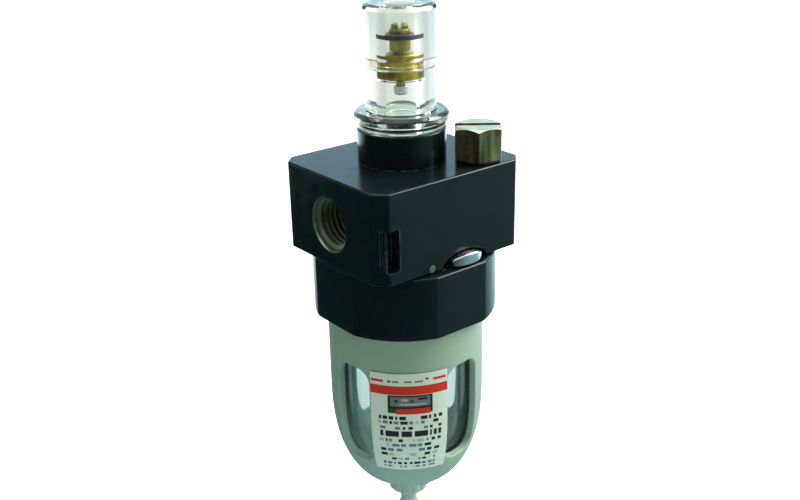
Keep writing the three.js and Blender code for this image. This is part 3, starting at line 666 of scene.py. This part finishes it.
def dome():
    """The sight dome, with the faces of its flange under material number 1, a darker plastic that is painted
    shade for the black neck seen through it.
    """
    rim, collar = DOME_FLANGE["radius"], DOME_FLANGE["collar"]
    low, step, top = DOME_FLANGE["low"], DOME_FLANGE["step"], DOME_FLANGE["top"]
    body = lathe([
        (3.8, 11.0, 0.2), (6.3, 11.0, 0.2), (6.8, 11.5, 0.2), (6.8, low, 0.3), (collar - 0.4, low, 0.2),
        (collar, low + 0.4, 0.2), (collar, step, 0.25), (rim - 0.3, step, 0.2), (rim, step + 0.3, 0.2),
        (rim, top - 0.9, 0.7), (rim - 0.9, top, 0.7), (8.5, top, 0.7), (8.5, 34.85, 0.25),
        (3.52, 34.85, 0.1), (3.52, 31.9, 0.2), (3.8, 31.6, 0.3),
    ], FINE)
    wall = 8.9
    for k, face in enumerate(body.faces):
        nearest = min(math.hypot(body.points[i].x, body.points[i].y) for i in face)
        height = body.points[face[0]].z
        if nearest > wall and low - 0.1 < height < top + 0.1:
            body.paints[k] = 1
    return body


def cap():
    return lathe([
        (3.55, 35.15, 0.1), (8.8, 35.15, 0.3), (8.8, 48.3, 0.4), (8.45, 49.15, 0.4), (7.6, 49.5, 0.4),
        (4.05, 49.5, 0.2), (3.55, 49.0, 0.2),
    ], FINE)


piece("clear_sight_dome", dome(), [CLEAR, SHADED_RIM_CLEAR], "body", ["sight_dome"], 30)
piece("clear_dome_cap", cap(), [CLEAR], "body", ["dome_cap"], 30)
piece("dome_o_ring", torus(8.4, 0.7, 19.45), [RUBBER], "body", ["dome_seal_ring"], 60)


def valve_body():
    flange = VALVE_FLANGE
    return lathe([
        (0.6, 28.4), (1.1, 28.4, 0.1), (1.1, 32.0), (flange, 32.0, 0.25), (flange, 34.2, 0.25), (2.6, 34.3),
        (2.6, 34.8), (flange, 34.9, 0.25), (flange, 36.2, 0.2), (3.3, 36.4), (3.3, 36.7), (flange, 36.9, 0.2),
        (flange, 38.0, 0.35), (1.75, 38.0, 0.15), (1.75, 34.8), (0.95, 34.5), (0.95, 33.5), (0.6, 33.0),
    ])


def drip_nozzle():
    return lathe([(1.2, 28.2, 0.1), (1.45, 28.2, 0.1), (1.7, 28.6, 0.1), (1.7, 30.3, 0.15), (1.2, 30.3)], 64)


def needle():
    """The oil needle, with a groove for its O-ring and a slot for a screwdriver."""
    top, wide, slim = NEEDLE_TOP, 2.5, 2.05
    head = lathe([
        (0, 33.8), (0.65, 34.8, 0.1), (0.65, 35.1), (1.55, 35.3, 0.1), (1.55, 38.4), (wide, 38.7, 0.2),
        (wide, 41.25, 0.1), (slim, 41.25), (slim, 42.75), (wide, 42.75, 0.1), (wide, 43.5, 0.15),
        (slim, 43.7, 0.1), (slim, top - 0.3, 0.2), (1.75, top, 0.2), (0, top),
    ], 64)
    half, floor = NEEDLE_SLOT["half"], top - NEEDLE_SLOT["depth"]
    return boolean(head, [block((-half, -3, floor), (half, 3, top + 1)).about("Z", NEEDLE_SLOT["turn"])])


def squeezed_ring():
    """The needle's O-ring, flattened where it bears on the bore of the cap."""
    return lathe([(2.1, 41.55, 0.2), (2.4, 41.3, 0.2), (VALVE_FLANGE, 41.4, 0.15), (VALVE_FLANGE, 42.6, 0.15),
                  (2.4, 42.7, 0.2), (2.1, 42.45, 0.2)], FINE)


piece("needle_valve_brass", valve_body(), [VALVE_BRASS], "body", ["needle_valve_body"])
piece("needle_screw_brass", needle(), [VALVE_BRASS], "needle", ["needle_screw"])
piece("needle_o_ring", squeezed_ring(), [RUBBER], "needle_seal", ["needle_seal_ring"], 60)
piece("drip_nozzle", drip_nozzle(), [STEEL], "body", ["drip_tip"])


# ---- fill plug

def plug_head():
    """The slotted hexagon, with the faces of its top under material number 1, a paler brass that is partly
    its turned finish and partly a painted highlight.
    """
    seat, top, slot = PLUG["seat"], PLUG["top"], PLUG["slot"]
    corner = PLUG["flats"] / math.sqrt(3)
    blunt = lathe([
        (0, seat), (corner - 0.35, seat), (corner + 0.05, seat + 0.3, 0.2), (corner + 0.05, top - 0.62, 0.2),
        (PLUG["flats"] / 2 - 0.15, top, 0.15), (0, top),
    ], 72)
    head = rounded(prism(hexagon(PLUG["flats"], PLUG["turn"]), seat, top), 0.15, 2)
    head = boolean(head, [blunt], "INTERSECT")
    groove = block((-corner - 1, -slot, top - 1.8), (corner + 1, slot, top + 1))
    head = boolean(head, [groove.about("Z", PLUG["turn"] + 90)])
    for k, face in enumerate(head.faces):
        if min(head.points[i].z for i in face) > top - PLUG_CHAMFER:
            head.paints[k] = 1
    return head


def fill_plug():
    shank, bottom, inside = PLUG["shank"], PLUG["bottom"], PLUG["seat"] + 0.4
    stem = lathe([(0, 7.2), (1.6, 7.0), (1.6, bottom), (shank - 0.5, bottom), (shank, bottom + 0.5),
                  (shank, inside), (0, inside)], 48)
    turns = 6
    ridge = helix(shank - 0.16, bottom + 0.6, bottom + 0.6 + turns, turns, 32)
    return plug_head().add(stem).add(sweep(ridge, 0.32, 6)).moved(PLUG["x"], PLUG["y"])


def washer(inner, outer, low, high, x=0.0, y=0.0):
    outline = [(inner, low, 0.1), (outer, low, 0.15), (outer, high, 0.15), (inner, high, 0.1)]
    return lathe(outline, 64).moved(x, y)


piece("slotted_fill_plug", fill_plug(), [DULL_BRASS, TURNED_SHEEN_BRASS], "fill_plug", ["fill_plug"], 32)
piece("fill_plug_washer", washer(3.7, 5.2, 12.0, 12.5, PLUG["x"], PLUG["y"]), [RUBBER], "plug_gasket",
      ["fill_plug_gasket"])


# ---- clamp ring

def flatted_circle(steps=24):
    """A circle with four flats on it, square to X and Y."""
    outline = []
    flat_end = math.acos(RING["half"] / RING["radius"])
    for quarter in range(4):
        for k in range(steps + 1):
            angle = quarter * math.pi / 2 + flat_end + (math.pi / 2 - 2 * flat_end) * k / steps
            outline.append(polar(RING["radius"], angle))
    return outline


def clamp_ring():
    low, top, bore = RING["bottom"], RING["top"], RING["bore"]
    ring = rounded(prism(flatted_circle(), low, top), 0.6, 4)
    hole = lathe([
        (0, low - 1), (bore + 0.5, low - 1), (bore + 0.5, low), (bore, low + 0.5), (bore, top - 0.4),
        (bore + 0.4, top), (bore + 0.4, top + 1), (0, top + 1),
    ], FINE)
    return boolean(ring, [hole])


piece("flatted_clamp_ring", clamp_ring(), [BLACK], "guard_group", ["clamp_ring"])


# ---- bowl guard with its four windows

def guard_radius(height, inset=0.0):
    """Radius of the guard's outside, or of a skin the given distance inside it, at a height."""
    g = GUARD
    if height >= g["bend"]:
        return g["radius"] - inset
    depth = min((g["bend"] - height) / (g["bend"] - g["bottom"] - inset), 1.0)
    return g["tip"] + (g["radius"] - inset - g["tip"]) * (1 - depth ** g["power"]) ** (1 / g["power"])


def skin_height(share, inset=0.0):
    """Heights down the curved part, packed closer where the skin turns in."""
    lowest = GUARD["bottom"] + inset
    return GUARD["bend"] + (lowest - GUARD["bend"]) * math.sin(share * math.pi / 2)


def window_outline(upright, across):
    """Points (lateral, height) round a window, from its lower right corner on."""
    half, corner = WINDOW["width"] / 2, WINDOW["corner"]
    low, high = WINDOW["bottom"], WINDOW["top"]
    middles = [(half - corner, low + corner, -45), (half - corner, high - corner, 45),
               (corner - half, high - corner, 135), (corner - half, low + corner, 225)]
    points = []
    for side, count in enumerate((upright, across, upright, across)):
        (x0, z0, a0), (x1, z1, _) = middles[side], middles[(side + 1) % 4]
        straight = math.hypot(x1 - x0, z1 - z0)
        arc = corner * math.pi / 4
        for k in range(count):
            s = (2 * arc + straight) * k / count
            outward = math.radians(a0 + 45)
            if s < arc:
                points.append(polar(corner, math.radians(a0) + s / corner, x0, z0))
            elif s < arc + straight:
                t = (s - arc) / straight
                points.append(polar(corner, outward, x0 + (x1 - x0) * t, z0 + (z1 - z0) * t))
            else:
                points.append(polar(corner, outward + (s - arc - straight) / corner, x1, z1))
    return points


def rings_off_windows(low, high):
    """The (radius, height) of the plain rings above the band of the windows, and of those below it."""
    neck = GUARD["neck_radius"]
    above = [(guard_radius(z), z) for z in (high, -30.5, GUARD["top"] - 0.25)]
    above += [(GUARD["radius"] - 0.3, GUARD["top"]), (neck, GUARD["top"]), (neck, GUARD["neck"])]
    low_share = math.asin((GUARD["bend"] - low) / (GUARD["bend"] - GUARD["bottom"])) / (math.pi / 2)
    below = [(guard_radius(low), low)]
    steps = 14
    for k in range(1, steps + 1):
        height = skin_height(low_share + (0.9995 - low_share) * k / steps)
        radius = guard_radius(height)
        if radius < GUARD["hole"]:
            break
        below.append((radius, height))
    below.append((GUARD["hole"], below[-1][1] - 0.03))
    return above, below


def guard_skin():
    """The guard's outside as an open skin, with quads that follow the windows' edges."""
    upright, across, loops = 28, 14, 6
    top, bottom = -33.5, -69.0
    eighth = math.pi / 4
    lower_edge = [(-eighth + 2 * eighth * k / across, bottom) for k in range(across)]
    border = [(eighth, bottom + (top - bottom) * k / upright) for k in range(upright)]
    border += [(eighth - 2 * eighth * k / across, top) for k in range(across)]
    border += [(-eighth, top + (bottom - top) * k / upright) for k in range(upright)]
    border += lower_edge
    hole = [(math.asin(lateral / guard_radius(height)), height)
            for lateral, height in window_outline(upright, across)]
    points, faces = [], []
    for quadrant in range(WINDOW["count"]):
        turn = math.radians(WINDOW["turn"] + 90 * quadrant)
        faces += grid(loops + 1, len(hole), len(points))
        for loop in range(loops + 1):
            t = loop / loops
            for (a0, z0), (a1, z1) in zip(hole, border):
                angle, height = a0 + (a1 - a0) * t + turn, z0 + (z1 - z0) * t
                points.append((*polar(guard_radius(height), angle), height))
        columns = [turn + angle for angle, _ in lower_edge] + [turn + eighth]
        for rings in rings_off_windows(bottom, top):
            faces += grid(len(rings), len(columns), len(points), closed=False)
            for radius, height in rings:
                points += [(*polar(radius, a), height) for a in columns]
    return Shape(points, faces)


def bowl_guard():
    """The guard: its skin, welded, given a wall inwards and bevelled at its edges."""
    mesh = to_mesh(guard_skin(), "windowed_bowl_guard")
    weld(mesh, 2e-5)
    outward = sum(face.normal.dot(Vector((*face.center.xy, 0))) for face in mesh.polygons)
    if outward < 0:
        mesh.flip_normals()
    mesh.materials.append(GREY)
    mesh.shade_smooth()
    made = put("windowed_bowl_guard", mesh)
    solid = made.modifiers.new("wall", "SOLIDIFY")
    solid.thickness, solid.offset = GUARD["wall"] * MM, -1
    solid.use_even_offset = True
    edge = made.modifiers.new("edge", "BEVEL")
    edge.width, edge.segments = 0.45 * MM, 3
    edge.limit_method, edge.angle_limit = "ANGLE", math.radians(40)
    fine = made.modifiers.new("weighted", "WEIGHTED_NORMAL")
    fine.keep_sharp, fine.weight = True, 60
    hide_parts("bowl_guard")
    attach(made, "guard_group")
    return made


bowl_guard()


# ---- bowl and drain

def bowl_skin(inset, steps=14):
    """The bowl's curved lower part as (radius, height) points, down to the drain's hole."""
    heights = [skin_height(k / steps, inset) for k in range(steps + 1)]
    points = [(guard_radius(height, inset), height) for height in heights]
    return [p for p in points if p[0] > 4.0]


def bowl():
    outer, inner = BOWL_INSET
    mouth, neck, hole = 13.4, 16.3, 3.2
    outline = [(mouth, -13.0, 0.3), (mouth, -20.8, 1.0), (15.5, -23.8, 1.0)]
    outline += bowl_skin(inner)
    outline += [(hole, GUARD["bottom"] + inner), (hole, GUARD["bottom"] + outer)]
    outline += bowl_skin(outer)[::-1]
    outline += [(17.7, -30.3, 0.2), (17.0, -29.6, 0.2), (17.0, -25.2), (18.6, -25.2, 0.2), (18.6, -23.2, 0.2),
                (neck, -23.2, 0.2), (neck, -19.4, 0.1), (14.7, -19.4), (14.7, -17.2), (neck, -17.2, 0.1),
                (neck, -13.4, 0.2), (15.9, -13.0, 0.2)]
    return lathe(outline, FINE)


def drain_body():
    stem, flange, hole = 2.9, 5.2, 1.0
    body = lathe([(hole, -80.0), (stem, -80.0, 0.2), (stem, -77.6), (flange, -77.6, 0.15),
                  (flange, -76.1, 0.15), (stem, -76.1), (stem, -69.0), (2.5, -68.6, 0.1), (hole, -68.6)], 64)
    return body.add(sweep(helix(2.72, -75.6, -69.4, 6, 24), 0.26, 6))


def drain_nut():
    nut = rounded(prism(hexagon(8.6, -90), -72.6, -70.0), 0.25, 2)
    return boolean(nut, [rod(3.2, -74, -69, 48)])


def flutes(radius, height, angle):
    """How far the knob's grip is sunk at a place: twelve grooves, and nothing off the grip."""
    depth, count = 0.42, 12
    if radius < 4.6 or height > -78.1 or height < -82.6:
        return 0.0
    return -depth * (0.5 + 0.5 * math.cos(count * angle)) ** 3


def drain_knob():
    grip, bore, hole = 5.5, 3.2, 1.0
    return lathe([
        (hole, -90.0), (2.0, -90.0, 0.3), (2.75, -88.4, 0.3), (2.1, -87.8, 0.3), (2.4, -82.7, 0.5),
        (5.1, -82.7, 0.3), (grip, -82.2, 0.3), (grip, -81.4), (grip, -79.4), (grip, -78.4, 0.3),
        (5.1, -78.0, 0.2), (bore, -78.0, 0.2), (bore, -80.9), (hole, -80.9),
    ], 144, wave=flutes)


piece("clear_bowl", bowl(), [BOWL_CLEAR], "bowl_group", ["bowl"], 30)
piece("bowl_o_ring", torus(15.6, 0.85, -18.3), [RUBBER], "bowl_group", ["bowl_seal_ring"], 60)
piece("drain_stem_brass", drain_body(), [BRASS], "bowl_group", ["drain_body"])
piece("drain_nut_brass", drain_nut(), [BRASS], "bowl_group", ["drain_nut"])
piece("drain_washer", washer(3.2, 5.0, -75.95, -75.5), [RUBBER], "bowl_group", ["drain_gasket"])
piece("fluted_drain_knob", drain_knob(), [NYLON], "drain_knob", ["drain_knob"], 40)
piece("drain_o_ring", torus(1.9, 0.38, -80.45, 48), [RUBBER], "drain_seal", ["drain_seal_ring"], 60)


# ---- siphon and check valves

def siphon_tube():
    """The tube, with an S bend between its fitting and its foot."""
    foot, top = SIPHON_FOOT_Y, GALLERY_Y
    bend_start, bend_end, steps = -20.0, -56.0, 24
    path = [(0, top, -13.9), (0, top, -17.0)]
    for k in range(steps + 1):
        t = k / steps
        y = top + (foot - top) * (3 * t * t - 2 * t ** 3)
        path.append((0, y, bend_start + (bend_end - bend_start) * t))
    path.append((0, foot, -61.7))
    return sweep(path, 2.6, 24)


def siphon_filter():
    return lathe([(0, -68.3), (3.4, -68.3, 0.2), (3.9, -67.8, 0.3), (3.9, -59.3, 0.5), (2.9, -59.3, 0.2),
                  (2.9, -62.1), (0, -62.1)], 64).moved(y=SIPHON_FOOT_Y)


def siphon_fitting():
    shank = lathe([
        (0.8, -18.4), (1.5, -18.4, 0.1), (1.7, -17.6, 0.1), (1.5, -16.8, 0.1), (1.5, -13.6), (3.0, -13.6),
        (3.0, -10.8), (2.45, -10.7), (2.45, -7.4, 0.1), (0.8, -7.4), (0.8, -9.2), (1.45, -9.6),
        (1.45, -13.0), (0.8, -13.3),
    ], 48)
    head = boolean(rounded(prism(hexagon(7.0, -90), -13.6, -10.8), 0.2, 2), [rod(2.2, -14, -10, 48)])
    return shank.add(head).moved(y=GALLERY_Y)


def check_cartridge():
    return lathe([(0.7, -16.0), (2.8, -16.0, 0.2), (3.4, -15.4, 0.2), (3.4, -10.8, 0.2), (2.45, -10.7),
                  (2.45, -8.4, 0.15), (0.8, -8.4), (0.8, -8.9), (1.6, -9.3), (1.6, -15.2), (0.7, -15.2)],
                 64).moved(x=CHECK_X)


def ball(radius, x, y, z):
    made = bmesh.new()
    bmesh.ops.create_icosphere(made, subdivisions=4, radius=radius * MM)
    mesh = bpy.data.meshes.new("ball")
    made.to_mesh(mesh)
    made.free()
    return from_mesh(mesh).moved(x, y, z)


def spring(radius, wire, low, high, turns):
    return sweep(helix(radius, low + wire, high - wire, turns, 24), wire, 10)


piece("siphon_pipe", siphon_tube(), [TUBE], "body", ["siphon_tube"], 60)
piece("siphon_sinter", siphon_filter(), [BRONZE], "body", ["siphon_filter"])
piece("siphon_union", siphon_fitting(), [BRASS], "body", ["siphon_fitting"])
piece("siphon_ball_steel", ball(CHECK_BALL, 0, GALLERY_Y, -12.1), [STEEL], "siphon_ball",
      ["siphon_check_ball"], 60)
piece("check_cartridge_brass", check_cartridge(), [BRASS], "body", ["pressure_check_cartridge"])
piece("pressure_ball_steel", ball(CHECK_BALL, CHECK_X, 0, -10.15), [STEEL], "pressure_ball",
      ["pressure_check_ball"], 60)
ball_spring = piece("pressure_ball_spring", spring(1.05, 0.2, *CHECK_SPRING, 4).moved(x=CHECK_X), [STEEL],
                    "body", ["pressure_check_spring"], 60)
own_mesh(ball_spring)


# ---- air passage

def pin_rod(radius, half, facets=32, edge=0.0):
    """A bar on the axis of the flapper's pin."""
    return along_y(rod(radius, -half, half, facets, edge)).moved(*FLAPPER_PIN)


def venturi():
    disc = lathe([(0, -1.2), (5.48, -1.2, 0.2), (5.48, 1.2, 0.2), (0, 1.2)], 64)
    throat = lathe([(0, -2.4), (2.0, -2.4), (1.2, -0.4), (1.2, 0.4), (1.7, 2.4), (0, 2.4)], 48)
    tools = [
        along_x(throat).moved(z=3.4),
        rod(0.6, 3.4, 6.6, 24),
        block((-2.2, -2.5, -3.9), (2.2, 2.5, -0.6)),
    ]
    disc = boolean(along_x(disc), tools)
    for side in (-1, 1):
        middle = side * 3.95
        ear = rounded(block((1.0, middle - 0.45, -0.2), (3.1, middle + 0.45, 1.6)), 0.2, 2)
        disc.add(boolean(ear, [pin_rod(0.6, 5)]))
    return disc


def flapper():
    pin_hole = pin_rod(0.56, 4)
    knuckle = pin_rod(0.88, 3.2, 40, 0.15)
    vane = rounded(block((1.55, -3.0, -4.4), (2.05, 3.0, 0.7)), 0.12, 2)
    return boolean(knuckle, [pin_hole]).add(boolean(vane, [pin_hole]))


piece("venturi_disc", venturi(), [BRASS], "body", ["venturi_insert"])
piece("flapper_vane", flapper(), [STEEL], "flapper", ["bypass_flapper"])
piece("flapper_pivot", pin_rod(0.5, 4.3, 32, 0.15), [STEEL], "body", ["flapper_pin"])


# ---- bowl lock

def lock_catch():
    """The catch, bowed in front and on top, with a bore for its spring."""
    x, half = CATCH["x"], CATCH["half"]
    front, back, low = CATCH["front"], CATCH["back"], CATCH["low"]
    steps = 16
    rows = []
    for k in range(steps + 1):
        t = -1 + 2 * k / steps
        across = x + half * t
        y = front + 1.5 * abs(t) ** 2.6
        top = CATCH["high"] - 1.15 * abs(t) ** 2.2
        rows.append([(across, back, low), (across, y, low), (across, y, top), (across, back, top)])
    catch = rounded(tube(rows), 0.45, 3, limit=40)
    return boolean(catch, [on_catch(rod(CATCH_SPRING_BORE, back - 1.7, back + 0.7, 32))])


piece("lock_button", lock_catch(), [PLATED], "lock_catch", ["lock_catch"])
piece("lock_button_spring", on_catch(spring(0.75, 0.18, -16.9, -9.7, 6)), [STEEL], "body",
      ["lock_catch_spring"], 60)
piece("green_lock_dot", along_y(rod(0.95, -19.8, -19.6, 32, 0.08)).moved(-7.4, 0, -9.35), [GREEN], "body",
      ["lock_mark"])


# ---- label

def label_marks():
    """The print as rectangles: (left, right, top, bottom, material number).

    Left and right are lengths round the guard from the label's middle, top and bottom are below its top.
    """
    rng = random.Random(7)
    marks = [
        (-9.6, -6.4, 1.75, 2.45, 1), (6.0, 9.4, 1.5, 2.2, 1),
        (-5.4, -4.6, 1.9, 2.4, 2), (-4.2, -2.6, 1.9, 2.4, 3), (-1.2, 0.6, 1.9, 2.4, 3),
        (1.4, 3.4, 1.9, 2.4, 3), (4.0, 4.8, 1.3, 1.8, 2),
        (-10, 10, 3.35, 5.85, 1),
        (-5.4, 5.8, 5.95, 11.0, 2), (-4.8, 5.2, 6.4, 9.1, 3), (-3.4, 5.3, 9.7, 11.3, 1),
        (-4.9, -3.6, 9.7, 11.0, 5), (-3.7, -2.9, 7.2, 7.9, 2), (-2.0, -0.4, 6.9, 7.5, 4),
        (0.2, 1.0, 7.3, 7.9, 2), (2.2, 4.6, 6.7, 7.3, 2), (-2.6, 4.2, 8.3, 8.7, 4),
    ]
    rows = [(11.9, 1.0), (13.3, 0.9), (14.9, 0.8), (16.2, 1.7), (18.6, 0.9), (20.1, 0.9), (21.6, 0.9),
            (23.1, 0.9), (24.6, 0.7), (26.1, 0.8), (27.4, 0.6)]
    for top, height in rows:
        x = -8.0 + rng.uniform(0, 0.8)
        while x < 7.6:
            width = rng.uniform(0.4, 1.9) if height < 1.2 else rng.choice((0.5, 0.8, 1.6, 2.6, 3.4))
            ink = rng.choice((2, 2, 3, 3, 4)) if height < 1 else 2
            if rng.random() < (0.92 if height > 0.95 else 0.74):
                marks.append((x, min(x + width, 8.4), top, top + height, ink))
            x += width + rng.uniform(0.3, 0.8)
    return marks


def spaced(values, first, last, widest=0.8):
    """The values, with the ends added and every wide step split."""
    values = [first, *values, last]
    full = [first]
    for a, b in zip(values, values[1:]):
        if b - a < 0.02:
            continue
        parts = max(1, math.ceil((b - a) / widest))
        full += [a + (b - a) * (k + 1) / parts for k in range(parts)]
    full[-1] = last
    return full


def ink_at(marks, s, d):
    """The material number of the last mark that covers a place, or 0 for the bare film."""
    ink = 0
    for left, right, top, bottom, number in marks:
        if left < s < right and top < d < bottom:
            ink = number
    return ink


def label():
    """The film: an outer and an inner layer of quads that follow the print, and a rim between them."""
    inner, outer = 0.1, 0.25
    reach = GUARD["radius"] * math.radians(LABEL["half"])
    height = LABEL["top"] - LABEL["bottom"]
    marks = label_marks()
    inside_x = sorted({round(v, 3) for m in marks for v in m[:2] if -reach + 0.1 < v < reach - 0.1})
    inside_z = sorted({round(v, 3) for m in marks for v in m[2:4] if 0.1 < v < height - 0.1})
    across = spaced(inside_x, -reach, reach)
    down = spaced(inside_z, 0.0, height)
    columns, rows = len(across), len(down)
    angles = [math.radians(LABEL["turn"]) + s / GUARD["radius"] for s in across]
    points = []
    for lift in (outer, inner):
        for d in down:
            z = LABEL["top"] - d
            points += [(*polar(guard_radius(z) + lift, angle), z) for angle in angles]
    layer = columns * rows
    rim = list(range(columns))
    rim += [j * columns + columns - 1 for j in range(1, rows)]
    rim += [(rows - 1) * columns + i for i in range(columns - 2, -1, -1)]
    rim += [j * columns for j in range(rows - 2, 0, -1)]
    faces = grid(rows, columns, closed=False)
    inks = [ink_at(marks, (across[i] + across[i + 1]) / 2, (down[j] + down[j + 1]) / 2)
            for j in range(rows - 1) for i in range(columns - 1)]
    faces += [tuple(layer + i for i in face[::-1]) for face in faces]
    faces += [(a, layer + a, layer + b, b) for a, b in zip(rim, rim[1:] + rim[:1])]
    shape = Shape(points, faces)
    shape.paints[:len(inks)] = inks
    return shape


piece("printed_guard_label", label(), [FILM, RED, INK, GREY_INK, PALE_INK, GREEN_INK], "guard_group",
      ["guard_label"], 50)


# ---- floor, lights and camera

def floor():
    """The floor: plain and pale to the camera, and another tint to each kind of ray off the part."""
    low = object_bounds()[0].z
    count, reach, gap = 64, 6.0, 0.0003
    mesh = bpy.data.meshes.new("studio_floor")
    points = [(*polar(reach, FULL_TURN * k / count), low - gap) for k in range(count)]
    mesh.from_pydata(points, [], [tuple(range(count))])
    p = Paint("studio_floor", Roughness=0.9, IOR=1.2, Emission_Strength=1.0)
    path = p.node("ShaderNodeLightPath").outputs
    direct, through = path["Is Camera Ray"], path["Is Transmission Ray"]
    gloss = p.math("MAXIMUM", p.math("SUBTRACT", path["Is Glossy Ray"], through), 0.0)
    split = p.node("ShaderNodeSeparateXYZ", {0: p.place}).outputs
    right = p.ranged(split["X"], 0.0, 1.0, -0.12, 0.20)
    behind = p.ranged(p.math("ADD", split["X"], split["Y"]), 0.0, 1.0, 0.10, 0.32)
    in_gloss = p.mixed(right, (0.012, 0.032, 0.038), (0.20, 0.44, 0.42))
    in_gloss = p.mixed(behind, in_gloss, (1.80, 2.60, 3.00))
    bounced = p.mixed(p.noise(3, 2), (0.68, 0.77, 0.72), (0.72, 0.81, 0.76))
    pale = p.mixed(direct, bounced, (0.92, 0.92, 0.92))
    p.link(p.mixed(gloss, p.mixed(through, pale, (0.40, 0.41, 0.39)), (0.0, 0.0, 0.0)), "Base Color")
    glow = p.mixed(direct, (0.0, 0.0, 0.0), (0.62, 0.62, 0.61))
    glow = p.mixed(through, glow, (0.36, 0.36, 0.34))
    p.link(p.mixed(gloss, glow, in_gloss), "Emission Color")
    mesh.materials.append(p.material)
    made = put("studio_floor", mesh)
    made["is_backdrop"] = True


def softbox(name, place, size, watts, colour, aim=(0, 0, -0.02)):
    data = bpy.data.lights.new(name, "AREA")
    data.shape = "RECTANGLE"
    data.size, data.size_y = size
    data.energy, data.color = watts, colour
    made = put(name, data)
    made.location = place
    made.rotation_mode = "QUATERNION"
    made.rotation_quaternion = (Vector(aim) - Vector(place)).to_track_quat("-Z", "Y")
    made.visible_camera = False
    return made


def world():
    """The room's light, a white backdrop, and a dimmer one that shows through clear pieces."""
    made = bpy.data.worlds.new("studio")
    bpy.context.scene.world = made
    made.use_nodes = True
    tree = made.node_tree
    path = tree.nodes.new("ShaderNodeLightPath")
    room = tree.nodes["Background"]
    room.inputs["Color"].default_value = (0.80, 0.95, 1.0, 1.0)
    room.inputs["Strength"].default_value = 0.26
    white, dimmer = (1.0, 1.0, 0.985, 1.0), (1.0, 1.0, 0.96, 1.0)
    for ray, colour, strength in (("Is Camera Ray", white, 1.0), ("Is Transmission Ray", dimmer, 0.78)):
        shader = tree.nodes.new("ShaderNodeBackground")
        shader.inputs["Color"].default_value = colour
        shader.inputs["Strength"].default_value = strength
        mix = tree.nodes.new("ShaderNodeMixShader")
        tree.links.new(path.outputs[ray], mix.inputs[0])
        tree.links.new(room.outputs[0], mix.inputs[1])
        tree.links.new(shader.outputs[0], mix.inputs[2])
        room = mix
    tree.links.new(room.outputs[0], tree.nodes["World Output"].inputs["Surface"])


def camera():
    place = (-0.1533, -0.1921, 0.0879)
    azimuth, elevation, roll = (math.radians(v) for v in (-38.35, 22.22, -1.25))
    back = Vector((math.sin(azimuth) * math.cos(elevation), -math.cos(azimuth) * math.cos(elevation),
                   math.sin(elevation)))
    right = Vector((math.cos(azimuth), math.sin(azimuth), 0))
    up = back.cross(right)
    right, up = right * math.cos(roll) + up * math.sin(roll), up * math.cos(roll) - right * math.sin(roll)
    data = bpy.data.cameras.new("camera")
    data.sensor_width, data.lens = 36.0, 47.19
    data.clip_start, data.clip_end = 0.01, 20.0
    made = put("camera", data)
    made.matrix_world = Matrix.Translation(place) @ Matrix((right, up, back)).transposed().to_4x4()
    bpy.context.scene.camera = made


camera()
floor()
world()
softbox("back_panel", (0.55, 0.70, 0.42), (1.1, 0.8), 2.9, (0.48, 0.80, 1.0))
softbox("key_right", (0.55, -0.30, 0.40), (0.45, 0.45), 8.6, (1.0, 1.0, 1.0))
softbox("overhead", (0.0, 0.0, 0.75), (0.9, 0.9), 3.9, (0.86, 0.97, 1.0))
under = softbox("under", (0.02, -0.03, -0.0885), (0.15, 0.15), 0.045, (0.16, 0.42, 1.0), (0.02, -0.03, 0.0))
under.visible_glossy = under.visible_transmission = False
bpy.context.scene.view_settings.view_transform = "Standard"
